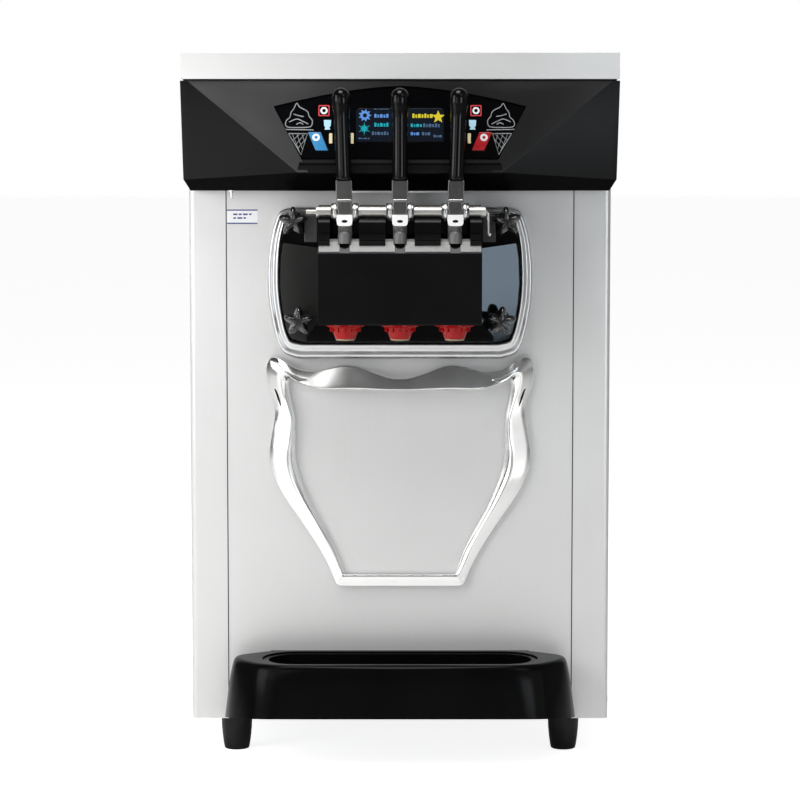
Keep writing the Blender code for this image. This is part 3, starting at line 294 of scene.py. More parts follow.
def box(low, high, edge=0.0, segments=3):
    bm = bmesh.new()
    low, high = Vector(low), Vector(high)
    place = Matrix.Translation((low + high) / 2) @ Matrix.Diagonal((*(high - low), 1))
    bmesh.ops.create_cube(bm, size=1, matrix=place)
    obj = made(bm)
    return bevelled(obj, edge, segments) if edge else obj


def along(start, direction):
    """Turns up to direction, at start."""
    return Matrix.Translation(start) @ Vector(direction).to_track_quat("Z", "Y").to_matrix().to_4x4()


def rod(radius, start, end, sides=32, edge=0.0):
    start, end = Vector(start), Vector(end)
    bm = bmesh.new()
    bmesh.ops.create_cone(
        bm, cap_ends=True, segments=sides, radius1=radius, radius2=radius,
        depth=(end - start).length, matrix=along((start + end) / 2, end - start),
    )
    obj = made(bm)
    return bevelled(obj, edge, 2, 40) if edge else obj


def turned(profile, start, direction=(0, 0, 1), sides=48):
    """Spins (radius, height) points about a line. Ends on the line close the shape."""
    bm = bmesh.new()
    rings = []
    for r, h in profile:
        if r < 1e-7:
            rings.append([bm.verts.new((0, 0, h))])
            continue
        ring = []
        for k in range(sides):
            a = 2 * math.pi * k / sides
            ring.append(bm.verts.new((r * math.cos(a), r * math.sin(a), h)))
        rings.append(ring)
    for a, b in zip(rings, rings[1:]):
        for k in range(sides):
            n = (k + 1) % sides
            if len(a) == 1 and len(b) == 1:
                continue
            if len(a) == 1:
                bm.faces.new((a[0], b[k], b[n]))
            elif len(b) == 1:
                bm.faces.new((a[k], b[0], a[n]))
            else:
                bm.faces.new((a[k], b[k], b[n], a[n]))
    bmesh.ops.transform(bm, matrix=along(start, direction), verts=bm.verts)
    return made(bm)


def upright(y):
    """Stands a drawing of x and z at y."""
    return Matrix.Translation((0, y, 0)) @ Matrix.Rotation(math.pi / 2, 4, "X")


def lying(z):
    """Lays a drawing of x and y at height z."""
    return Matrix.Translation((0, 0, z))


def sideways(x=0.0):
    """Stands a drawing of y and z at x."""
    return Matrix.Translation((x, 0, 0)) @ Matrix(((0, 0, 1, 0), (1, 0, 0, 0), (0, 1, 0, 0), (0, 0, 0, 1)))


def plate(outlines, thickness, place, edge=0.0, segments=2):
    """A flat piece, its drawing at half its thickness. Outlines within the first are openings."""
    curve = bpy.data.curves.new("outline", "CURVE")
    curve.dimensions = "2D"
    curve.fill_mode = "BOTH"
    curve.extrude = thickness / 2
    for outline in outlines:
        spline = curve.splines.new("POLY")
        spline.points.add(len(outline) - 1)
        for point, (x, y) in zip(spline.points, outline):
            point.co = (x, y, 0, 1)
        spline.use_cyclic_u = True
    obj = bpy.data.objects.new("plate", curve)
    bpy.context.scene.collection.objects.link(obj)
    obj.matrix_world = place
    obj = baked(obj)
    return bevelled(obj, edge, segments, 50) if edge else obj


def tube(points, radius, steps=6):
    curve = bpy.data.curves.new("tube", "CURVE")
    curve.dimensions = "3D"
    curve.bevel_depth = radius
    curve.bevel_resolution = steps
    curve.use_fill_caps = True
    spline = curve.splines.new("POLY")
    spline.points.add(len(points) - 1)
    for point, place in zip(spline.points, points):
        point.co = (*place, 1)
    obj = bpy.data.objects.new("tube", curve)
    bpy.context.scene.collection.objects.link(obj)
    return baked(obj)


def loft(loops, cap=True):
    """A skin over loops with the same number of points; without caps the last meets the first."""
    bm = bmesh.new()
    rows = [[bm.verts.new(p) for p in loop] for loop in loops]
    count = len(rows[0])
    pairs = list(zip(rows, rows[1:]))
    if not cap:
        pairs.append((rows[-1], rows[0]))
    for a, b in pairs:
        for i in range(count):
            j = (i + 1) % count
            bm.faces.new((a[i], a[j], b[j], b[i]))
    if cap:
        bm.faces.new(rows[0])
        bm.faces.new(reversed(rows[-1]))
    return made(bm)


def combine(shape, other, operation):
    change = shape.modifiers.new("change", "BOOLEAN")
    change.operation = operation
    change.object = other
    done = baked(shape)
    bpy.data.objects.remove(other)
    return done


def cut(shape, *cutters):
    for cutter in cutters:
        shape = combine(shape, cutter, "DIFFERENCE")
    return shape


def joined(shape, *others):
    for other in others:
        shape = combine(shape, other, "UNION")
    return shape


def together(*shapes):
    """Several shapes as one piece, without a Boolean."""
    bm = bmesh.new()
    for shape in shapes:
        shape.data.transform(shape.matrix_world)
        bm.from_mesh(shape.data)
        bpy.data.objects.remove(shape)
    return made(bm, recalc=False)


def moved(shape, matrix):
    shape.data.transform(matrix)
    return shape


def arc(centre, radius, start, end, steps):
    found = []
    for i in range(steps + 1):
        a = math.radians(start + (end - start) * i / steps)
        found.append((centre[0] + radius * math.cos(a), centre[1] + radius * math.sin(a)))
    return found


def rounded_rectangle(low, high, radius, steps=6):
    (x0, y0), (x1, y1) = low, high
    return (
        arc((x1 - radius, y1 - radius), radius, 0, 90, steps)
        + arc((x0 + radius, y1 - radius), radius, 90, 180, steps)
        + arc((x0 + radius, y0 + radius), radius, 180, 270, steps)
        + arc((x1 - radius, y0 + radius), radius, 270, 360, steps)
    )


def star(x, y, outer, inner, points, turn=0.0):
    found = []
    for k in range(points * 2):
        r = outer if k % 2 == 0 else inner
        a = math.pi * k / points + turn
        found.append((x + r * math.cos(a), y + r * math.sin(a)))
    return found


def stadium(half_length, radius, centre_y, steps=20):
    right = arc((half_length, centre_y), radius, -90, 90, steps)
    return right + arc((-half_length, centre_y), radius, 90, 270, steps)


def smooth(points, steps, closed=False):
    """A Catmull-Rom curve through points of any length."""
    vectors = [Vector(p) for p in points]
    count = len(vectors)
    found = []
    for i in range(count if closed else count - 1):
        p0 = vectors[i - 1] if closed or i else vectors[0]
        p1, p2 = vectors[i], vectors[(i + 1) % count]
        p3 = vectors[(i + 2) % count] if closed or i + 2 < count else vectors[-1]
        for k in range(steps):
            t = k / steps
            b, c = (p2 - p0) * t, (2 * p0 - 5 * p1 + 4 * p2 - p3) * t * t
            found.append((2 * p1 + b + c + (3 * p1 - p0 - 3 * p2 + p3) * t**3) / 2)
    if not closed:
        found.append(vectors[-1])
    return found


def mirrored(half):
    return list(half) + [(-x, y) for x, y in reversed(half) if abs(x) > 1e-6]


def piece(shape, name, body, material, replaces=(), sharp=35, weighted=True):
    """Names a finished shape, gives it its finish, and lets it ride on its body."""
    shape.name = name
    shape.data.materials.clear()
    shape.data.materials.append(MAT[material])
    shape.data.shade_smooth()
    shape.data.set_sharp_from_angle(angle=math.radians(sharp))
    shape.location.y += PANEL
    if weighted:
        normals = shape.modifiers.new("normals", "WEIGHTED_NORMAL")
        normals.keep_sharp = True
        normals.weight = 80
    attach(shape, body)
    if replaces:
        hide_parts(*replaces)
    return shape


# ---------------------------------------------------------------- carried-over CAD nodes
CARRIED = {
    "panel": ["front_panel", "left_side_panel", "right_side_panel", "rear_panel"],
    "food": [
        "cylinder_faceplate", "hopper_left", "hopper_right", "freezing_cylinder_left",
        "freezing_cylinder_right"
    ],
    "paint": ["chassis", "control_box", "drive_motor", "fan_motor", "gearbox_left", "gearbox_right"],
    "iron": ["motor_pulley", "gearbox_pulley_left", "gearbox_pulley_right"],
    "belt": ["drive_belt"],
    "black_paint": ["compressor", "fan_blade"],
    "fins": ["condenser"],
    "white": [
        "valve_plunger_left", "valve_plunger_centre", "valve_plunger_right",
        "air_tube_left", "air_tube_right", "beater_left", "beater_right",
    ],
}
for finish, names in CARRIED.items():
    for node_name in names:
        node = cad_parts[node_name]
        node.data.materials.clear()
        node.data.materials.append(MAT[finish])


# ---------------------------------------------------------------- head
def face_place(depth=0.0):
    """Local x, y on the head's upper face, its origin at the top edge; depth goes into the head."""
    start = Vector((0, FACE_TOP_Y, FACE_TOP_Z))
    inward = Vector((0, math.cos(SLOPE), -math.sin(SLOPE)))
    return Matrix.Translation(start + inward * depth) @ Matrix.Rotation(math.pi / 2 - SLOPE, 4, "X")


def on_face(x, z):
    """Face coordinates of a point seen at x and height z."""
    return (x, (z - FACE_TOP_Z) / math.cos(SLOPE))


def fascia_outline(grow=0.0, low=-0.0955):
    half = []
    for k in range(13):
        share = k / 12
        half.append(((0.152 + grow) * share, -0.0075 + grow - 0.025 * share**1.6))
    drop = (-0.0325 - low) / 0.063
    return mirrored(half + [(0.152 - 0.033 * drop + grow, low - grow)])


def head():
    """The faceted hood, with painted shade on the chin and on the low side facets, which take darker,
    duller copies of its black.
    """
    rows = [
        mm((266.8, 40, 842), (266.8, -51.5, 842), (258, -52.1, 842), (122, -52.1, 842)),
        mm((264, 40, 722.5), (264, -43.5, 722.5), (256, -45, 722.8), (123.5, -75.7, 731.5)),
        mm((256, 40, 708.7), (256, -34, 708.7), (250, -35, 708.7), (118, -50, 708.7)),
    ]
    bm = bmesh.new()
    grid = []
    for row in rows:
        right = [Vector(p) for p in row]
        left = [Vector((-p.x, p.y, p.z)) for p in reversed(right)]
        grid.append([bm.verts.new(p) for p in right + left])
    top, mid, low = grid
    last = len(top) - 1
    for a, b in ((top, mid), (mid, low)):
        for k in range(last):
            if a is top and k == 2:  # the right facet's diagonal
                bm.faces.new((a[k], b[k], b[k + 1]))
                bm.faces.new((a[k], b[k + 1], a[k + 1]))
            elif a is top and k == last - 3:  # the left facet's
                bm.faces.new((a[k], b[k], a[k + 1]))
                bm.faces.new((a[k + 1], b[k], b[k + 1]))
            else:
                bm.faces.new((a[k], b[k], b[k + 1], a[k + 1]))
        bm.faces.new((a[last], b[last], b[0], a[0]))
    bm.faces.new(top)
    bm.faces.new(reversed(low))
    shell = made(bm)
    recess = plate([fascia_outline(0.0006, -0.113)], 0.0104, face_place(0.0))
    behind = box((-0.2612, 0.0004, 0.6), (0.2612, 0.1, 0.9))
    shell = bevelled(cut(shell, recess, behind), 0.0009, 3, 20)
    peg = turned(
        mm((0, 699), (1.4, 699), (1.6, 700), (1.6, 708.5), (0, 708.5)), (-0.206, -0.0385, 0), sides=16
    )
    cap = turned(mm((0, 706), (3, 706.4), (4.4, 709.2), (0, 710)), (-0.206, -0.0385, 0), sides=20)
    shell = piece(shell, "head_shell", "cabinet", "head", ["head_cover"], 18, False)
    for finish in ("chin", "low_facets"):
        shell.data.materials.append(MAT[finish])
    # faces turned down and the low side facets take the darker copies: painted shade
    for face in shell.data.polygons:
        if face.normal.z < -0.4:
            face.material_index = 1
        elif abs(face.center.x) > 0.125 and abs(face.normal.x) > 0.12:
            face.material_index = 2
    seal = box((-0.263, -0.0495, 0.8412), (0.263, 0.038, 0.8446), 0.0006, 2)
    piece(seal, "deck_seal", "cabinet", "seal")
    # a light strip under the chin between the handles, standing in for the lit lower edge of the head:
    # painted highlight
    under = box((-0.058, -0.056, 0.7064), (0.058, -0.0352, 0.7088), 0.0008, 3)
    piece(under, "chin_highlight_strip", "cabinet", "tongue")
    piece(together(peg, cap), "hood_peg", "cabinet", "bright")

    loops = []
    for x in (-0.12, 0.12):
        run = mm(
            (-40, 749), (-65.5, 749), (-67.2, 748.7), (-70.5, 747), (-73, 744), (-74.8, 740), (-75.2, 736),
            (-74.8, 731), (-73.2, 728.4), (-50.5, 709), (-40, 709)
        )
        loops.append([(x * (1 + 0.045 * (0.749 - z) / 0.02), y, z) for y, z in run])
    ledge = piece(loft(loops), "head_ledge", "cabinet", "low_facets", sharp=28)
    ledge.data.materials.append(MAT["chin"])
    # the ledge is in the low facets' darker black, and its faces turned up or down in the chin's still
    # darker one: painted shade
    for face in ledge.data.polygons:
        face.material_index = 1 if abs(face.normal.z) > 0.4 else 0


def flat(outlines, name, material):
    """A printed mark on the fascia."""
    return piece(plate(outlines, 0.0002, face_place(0.0019)), name, "cabinet", material, weighted=False)


def circle(x, y, r, steps=28):
    return arc((x, y), r, 0, 360 - 360 / steps, steps - 1)


def stroke(points, radius):
    """A printed line on the fascia."""
    place = face_place(0.0021)
    flat_points = [place @ Vector((x, y, 0)) for x, y in points]
    return tube(flat_points, radius, steps=2)


def fascia():
    """The gloss panel with its openings, the display glass and the printed marks."""
    openings = [rounded_rectangle((-0.0533, -0.075), (0.0533, -0.0335), 0.003)]
    for side in (-1, 1):
        corners = mm((-13, 11.8), (3.3, 11.8), (13, -11.8), (-3.3, -11.8))
        openings.append([(side * (KEY_X - x), KEY_Y + y) for x, y in corners])
    panel = plate([fascia_outline(), *openings], 0.003, face_place(0.0035), 0.0003, 2)
    piece(panel, "fascia_panel", "cabinet", "fascia", ["control_fascia"])
    glass = rounded_rectangle((-0.053, -0.0747), (0.053, -0.0338), 0.0028)
    glass = plate([glass], 0.0026, face_place(0.0035), 0.0002)
    piece(glass, "display_glass", "cabinet", "screen", ["display_window"])

    for side, tag in ((-1, "left"), (1, "right")):
        swirl = mm(
            (-124.5, 815), (-121.5, 810.5), (-116.5, 808), (-111.5, 804.5), (-110, 799.5), (-106.2, 794.5),
            (-106.8, 788.5), (-111, 786.2), (-123, 785.8), (-135, 786.2), (-138.5, 789), (-137.2, 794.5),
            (-133, 798.5), (-131.8, 804), (-128.2, 809), (-126.2, 813.5)
        )
        runs = [[on_face(-side * x, z) for x, z in smooth(swirl, 4, True)]]
        runs[0].append(runs[0][0])
        inner = [
            mm((-129, 802), (-122, 800), (-116.5, 799)),
            mm((-134, 792.5), (-125, 796), (-118, 793.5), (-111, 790)),
            mm((-125.5, 789.5), (-121, 791.5), (-117, 789.5)),
            mm((-138.5, 783.5), (-120, 783.2), (-104.5, 782.8)),
            mm((-135, 778.5), (-112, 778.5), (-119.5, 753), (-124, 761), (-135, 778.5)),
            mm((-130, 777.5), (-121.5, 757)), mm((-124.5, 777.5), (-118, 760)),
            mm((-118.5, 777.5), (-115, 768)), mm((-115.5, 777.5), (-126.5, 765)),
            mm((-121.5, 777.5), (-130.5, 770)), mm((-114, 772), (-124, 760)),
        ]
        for run in inner:
            bent = smooth(run, 4) if len(run) in (3, 4) else run
            runs.append([on_face(-side * x, z) for x, z in bent])
        strokes = [stroke(run, 0.0006 if k < 6 else 0.00032) for k, run in enumerate(runs)]
        piece(together(*strokes), "cone_print_" + tag, "cabinet", "line", sharp=60, weighted=False)

        x, y = on_face(side * 0.092, 0.8062)
        frame_out = rounded_rectangle((x - 0.0068, y - 0.0068), (x + 0.0068, y + 0.0068), 0.0012, 3)
        frame_in = rounded_rectangle((x - 0.0054, y - 0.0054), (x + 0.0054, y + 0.0054), 0.001, 3)
        flat([frame_out, frame_in], "ring_icon_frame_" + tag, "print_red")
        flat([circle(x, y, 0.0044), circle(x, y, 0.0022)], "ring_icon_" + tag, "print_white")
        x, y = on_face(side * 0.0878, 0.789)
        cup = [
            (x - 0.0044, y + 0.006), (x + 0.0044, y + 0.006), (x + 0.004, y - 0.0012),
            (x + 0.0024, y - 0.003), (x + 0.0036, y - 0.0058), (x - 0.0036, y - 0.0058),
            (x - 0.0024, y - 0.003), (x - 0.004, y - 0.0012)
        ]
        flat([cup], "cup_icon_" + tag, "print_blue")
        x, y = on_face(side * 0.0838, 0.7728)
        mark = rounded_rectangle((x - 0.0019, y - 0.0062), (x + 0.0019, y + 0.0062), 0.0008, 2)
        flat([mark], "level_mark_" + tag, "print_cream")
    x, y = on_face(-0.0577, 0.7728)
    mark = rounded_rectangle((x - 0.0017, y - 0.0066), (x + 0.0017, y + 0.0066), 0.0008, 2)
    flat([mark], "level_mark_inner", "print_cream")


def read_out():
    """Generic lit symbols and rows of short bars on the display."""
    lit = {"lit_blue": [], "lit_teal": [], "lit_yellow": [], "lit_grey": []}

    def add(finish, outlines):
        lit[finish].append(plate(outlines, 0.0002, face_place(0.0021)))

    def words(finish, x0, x1, z, height=0.0032):
        x = x0
        k = 0
        while x < x1 - 0.001:
            wide = (0.0026, 0.0018, 0.0034, 0.0022)[k % 4]
            tall = height * (1.0, 0.8, 0.9, 0.8)[k % 4]
            a, b = on_face(x, z)
            b -= height / 2
            add(finish, [[(a, b), (a + wide, b), (a + wide, b + tall), (a, b + tall)]])
            x += wide + 0.0011
            k += 1

    x, y = on_face(-0.0425, 0.8005)
    add("lit_blue", [star(x, y, 0.008, 0.005, 9), circle(x, y, 0.0026, 16)])
    x, y = on_face(-0.0432, 0.7845)
    add("lit_teal", [star(x, y, 0.0084, 0.0018, 6, math.pi / 2)])
    add("lit_teal", [star(x, y, 0.0052, 0.0018, 6)])
    words("lit_blue", -0.031, -0.0125, 0.8, 0.0046)
    words("lit_teal", -0.031, -0.013, 0.7893, 0.0048)
    words("lit_grey", -0.034, -0.012, 0.779, 0.0042)
    words("lit_grey", -0.05, -0.037, 0.7728, 0.0018)
    words("lit_grey", -0.031, -0.013, 0.808, 0.0009)
    words("lit_yellow", 0.015, 0.0375, 0.8, 0.0052)
    x, y = on_face(0.0462, 0.7985)
    add("lit_yellow", [star(x, y, 0.0082, 0.0036, 5, math.pi / 2)])
    words("lit_teal", 0.013, 0.0255, 0.7885, 0.004)
    words("lit_grey", 0.028, 0.049, 0.7885, 0.0046)
    words("lit_blue", 0.013, 0.024, 0.7785, 0.0038)
    words("lit_grey", 0.0265, 0.036, 0.7785, 0.004)
    words("lit_grey", 0.0405, 0.05, 0.7755, 0.003)
    for finish, shapes in lit.items():
        piece(together(*shapes), "read_out_" + finish[4:], "cabinet", finish, weighted=False)


def keys():
    """The two leaning keys, each with a printed ring."""
    kinds = ((-1, "left", "blue_key", "key_blue"), (1, "right", "red_key", "key_red"))
    for side, tag, body, finish in kinds:
        corners = mm((-12.3, 11.2), (3, 11.2), (12.3, -11.2), (-3, -11.2))
        outline = [(side * (KEY_X - x), KEY_Y + y) for x, y in corners]
        cap = plate([outline], 0.0043, face_place(0.0033), 0.0008, 3)
        piece(cap, tag + "_key_cap", body, finish, [tag + "_key"])
        ring = [circle(side * 0.1015, -0.0698, 0.0046), circle(side * 0.1015, -0.0698, 0.002)]
        ring = plate(ring, 0.0003, face_place(0.00105))
        piece(ring, tag + "_key_ring", body, "print_white", weighted=False)


# ---------------------------------------------------------------- cabinet skin
def top_deck():
    lo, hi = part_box("top_deck")
    y0, y1 = lo.y - PANEL, hi.y - PANEL
    deck = box((lo.x, y0, lo.z), (hi.x, y1, hi.z))
    recess = box((-0.222, 0.062, 0.861), (0.222, 0.452, 0.9))
    under = box((lo.x + 0.0016, y0 + 0.0016, 0.8455), (hi.x - 0.0016, y1 - 0.0016, 0.859))
    mouth = box((lo.x + 0.02, y0 + 0.02, 0.83), (hi.x - 0.02, y1 - 0.02, 0.846))
    holes = [box((s * 0.113 - 0.0935, 0.0965, 0.8), (s * 0.113 + 0.0935, 0.4165, 0.9)) for s in (-1, 1)]
    deck = bevelled(cut(deck, recess, under, mouth, *holes), 0.0022, 3, 40)
    piece(deck, "deck_frame", "cabinet", "deck", ["top_deck"])


def lid():
    lo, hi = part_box("hopper_lid")
    y0, y1 = lo.y - PANEL, hi.y - PANEL
    shape = box((lo.x, y0, lo.z), (hi.x, y1, hi.z))
    for s in (-1, 1):
        pool = rounded_rectangle((s * 0.15 - 0.036, 0.198), (s * 0.15 + 0.036, 0.312), 0.014, 8)
        shape = cut(shape, plate([pool], 0.014, lying(hi.z)))
    field = plate([rounded_rectangle((-0.1, y0 + 0.03), (0.1, y1 - 0.03), 0.012, 8)], 0.0016, lying(hi.z))
    shape = bevelled(cut(shape, field), 0.0016, 3, 40)
    piece(shape, "hopper_cover", "hopper_lid", "lid", ["hopper_lid"])


def pressed_hood(start, end, base, section, place):
    """A louvre from start to end, whose section rises out of base at both ends."""
    ends = ((0.0, 0.05), (0.0025, 0.7), (0.0065, 1.0))
    stations = [(start + inset, depth) for inset, depth in ends]
    stations += [(end - inset, depth) for inset, depth in reversed(ends)]
    loops = []
    for at, depth in stations:
        loops.append([place(at, base + (out - base) * depth, z) for out, z in section])
    return loft(loops)


def louvres():
    """Pressed hoods over the side vents, and the panels' screws."""
    for side, tag in ((-1, "left"), (1, "right")):
        hoods = []
        for row in range(11):
            z = 0.13 + 0.026 * row
            section = [
                (0.26, z + 0.015), (0.2612, z + 0.0148), (0.2648, z + 0.006), (0.265, z + 0.003),
                (0.264, z + 0.0022), (0.26, z + 0.012)
            ]
            hoods.append(pressed_hood(0.2375, 0.5025, 0.26, section, lambda y, x, h: (side * x, y, h)))
        piece(together(*hoods), "side_louvres_" + tag, "cabinet", "panel")
    screws = []
    for x in (-0.25, 0.25):
        for z in (0.075, 0.3, 0.56, 0.82):
            screws.append(screw_head((x, 0.612, z), (0, 1, 0)))
    for side in (-1, 1):
        for y in (0.03, 0.3, 0.59):
            for z in (0.066, 0.815):
                screws.append(screw_head((side * 0.2605, y, z), (side, 0, 0)))
    piece(together(*screws), "panel_screws", "cabinet", "bright", sharp=30)


def screw_head(at, direction):
    head_shape = turned(
        mm((0, 2.4), (2.2, 2.2), (3.6, 1.4), (4, 0.4), (4, -0.5), (0, -0.5)), at, direction, 24
    )
    turn = along(at, direction)
    for angle in (0, math.pi / 2):
        slot = box((-0.0022, -0.0004, 0.0012), (0.0022, 0.0004, 0.004))
        head_shape = cut(head_shape, moved(slot, turn @ Matrix.Rotation(angle, 4, "Z")))
    return head_shape


def rear_details():
    """The rear vents' hoods, a blank plate and the cord's gland."""
    hoods = []
    for column in (-0.115, 0.115):
        for row in range(8):
            z = 0.22 + 0.048 * row
            section = [
                (0.6118, z + 0.0185), (0.613, z + 0.0182), (0.6176, z + 0.008), (0.6178, z + 0.004),
                (0.6168, z + 0.003), (0.6118, z + 0.015)
            ]
            hoods.append(pressed_hood(-0.0915, 0.0915, 0.6118, section, lambda x, y, h: (column + x, y, h)))
    piece(together(*hoods), "rear_louvres", "cabinet", "panel")
    plate_low = box((-0.055, 0.6118, 0.115), (0.055, 0.6128, 0.165), 0.0004, 2)
    piece(plate_low, "blank_rating_plate", "cabinet", "bright")
    gland = turned(
        mm(
            (0, 630), (4.6, 630), (5.5, 631.2), (6.8, 630), (9.5, 621.5), (10.5, 619.5), (14.6, 618.5),
            (15, 617), (15, 612.4), (0, 612.4)
        ),
        (0.19, 0, 0.105), (0, 1, 0), 40,
    )
    piece(gland, "cord_gland_body", "cabinet", "rubber", ["cord_gland"])


def feet():
    for name, x, y in (
        ("front_left", -0.2075, 0.045), ("front_right", 0.2075, 0.045), ("rear_left", -0.2075, 0.56),
        ("rear_right", 0.2075, 0.56)
    ):
        profile = mm(
            (0, 46.6), (18.8, 46.6), (19.4, 46), (19.5, 44.8), (19.4, 36), (19, 27), (18.2, 18), (17.1, 9),
            (16, 2.5), (15.4, 0.6), (14.6, 0), (6, 0), (5, 1.2), (0, 1.2)
        )
        piece(
            turned(profile, (x, y, 0), sides=48), name + "_foot_pad", "cabinet", "rubber", [name + "_foot"],
        )


def seams():
    # black beads in the side seams: a dark joint, drawn wider than the real gap as its painted shade
    beads = []
    for side in (-1, 1):
        beads.append(box((side * 0.21475 - 0.0006, -0.0002, 0.049), (side * 0.21475 + 0.0006, 0.003, 0.84)))
    piece(together(*beads), "panel_seams", "cabinet", "seal", weighted=False)


def label():
    sticker = box((-0.2136, -0.00025, 0.669), (-0.176, 0.0002, 0.6842))
    piece(sticker, "seam_label", "cabinet", "paper", weighted=False)
    marks = [box((-0.2136, -0.00045, z), (-0.176, -0.0001, z + 0.0015)) for z in (0.6832, 0.6668)]
    for k, z in enumerate((0.6778, 0.6732)):
        x = -0.206
        for n in range(4 - k):
            wide = (0.0052, 0.0036, 0.006, 0.003)[(n + k) % 4]
            marks.append(box((x, -0.0004, z), (x + wide, -0.0001, z + 0.002)))
            x += wide + 0.0016
    piece(together(*marks), "label_lines", "cabinet", "navy", weighted=False)


# ---------------------------------------------------------------- dispensing head
def door_outer():
    side = mm(
        (132, 688), (147, 683.6), (154.5, 670), (160, 648), (163.6, 620), (164.2, 595), (162.8, 572),
        (159, 548), (154.8, 530), (150, 516.5), (141.5, 506.5), (125, 501)
    )
    return mirrored(smooth(side, 5))


def door_inner(grow):
    """The ring's opening, let out by grow to each side."""
    side = mm(
        (125, 679.5), (137.5, 676.5), (143, 662), (146.5, 645), (148.2, 625), (148.7, 595), (146.8, 570),
        (143, 548), (141.3, 540.5), (139.5, 534), (134.5, 524.5), (120, 521)
    )
    ways = [(0, 1), (1, 1)] + [(1, 0)] * 8 + [(1, -1), (0, -1)]
    side = [(x + grow * right, z + grow * up) for (x, z), (right, up) in zip(side, ways)]
    return mirrored(smooth(side, 5))


def surround():
    """The bright ring: an outer lip, a shallow channel and an inner lip."""
    outer = door_outer()
    inner = door_inner(0.0002)
    # share of the way in, and how far out in mm
    section = [
        (0, 0.4), (0, 12), (0.015, 15), (0.05, 17.8), (0.1, 19.7), (0.16, 20.9), (0.23, 21.5),
        (0.3, 21.6), (0.37, 21.3), (0.44, 20.9), (0.5, 20.8), (0.56, 21.1), (0.63, 21.9), (0.7, 22.9),
        (0.77, 23.8), (0.84, 24.4), (0.9, 24.4), (0.95, 23.7), (0.985, 22.4), (1, 20), (1, 0.4),
    ]
    loops = []
    for (ox, oz), (ix, iz) in zip(outer, inner):
        loops.append([(ox + (ix - ox) * t, -out / 1000, oz + (iz - oz) * t) for t, out in section])
    piece(
        loft(loops, cap=False), "door_ring", "cabinet", "ring", ["door_surround"], 50, False
    )


def hump(x0, x1):
    """A saddle over the pin, with two grooves in its front."""
    side = mm(
        (-70, 640), (-70, 691.5), (-70.8, 692.2), (-79, 692.2), (-79.8, 691.6), (-83.5, 684.3), (-88, 680),
        (-96, 677.2)
    )
    front = mm(
        (-97.5, 676), (-101, 676.2), (-104.5, 673.5), (-106.8, 668), (-107.4, 660), (-106, 650), (-102, 640)
    )
    shape = plate([side + smooth(front, 4)], x1 - x0, sideways((x0 + x1) / 2))
    shape = cut(shape, rod(0.0073, (x0 - 0.01, PIN_Y, PIN_Z), (x1 + 0.01, PIN_Y, PIN_Z), 40))
    for z in (0.6585, 0.65):
        shape = cut(shape, box((x0 - 0.01, -0.12, z), (x1 + 0.01, -0.1055, z + 0.0014)))
    return bevelled(shape, 0.0016, 3, 40)


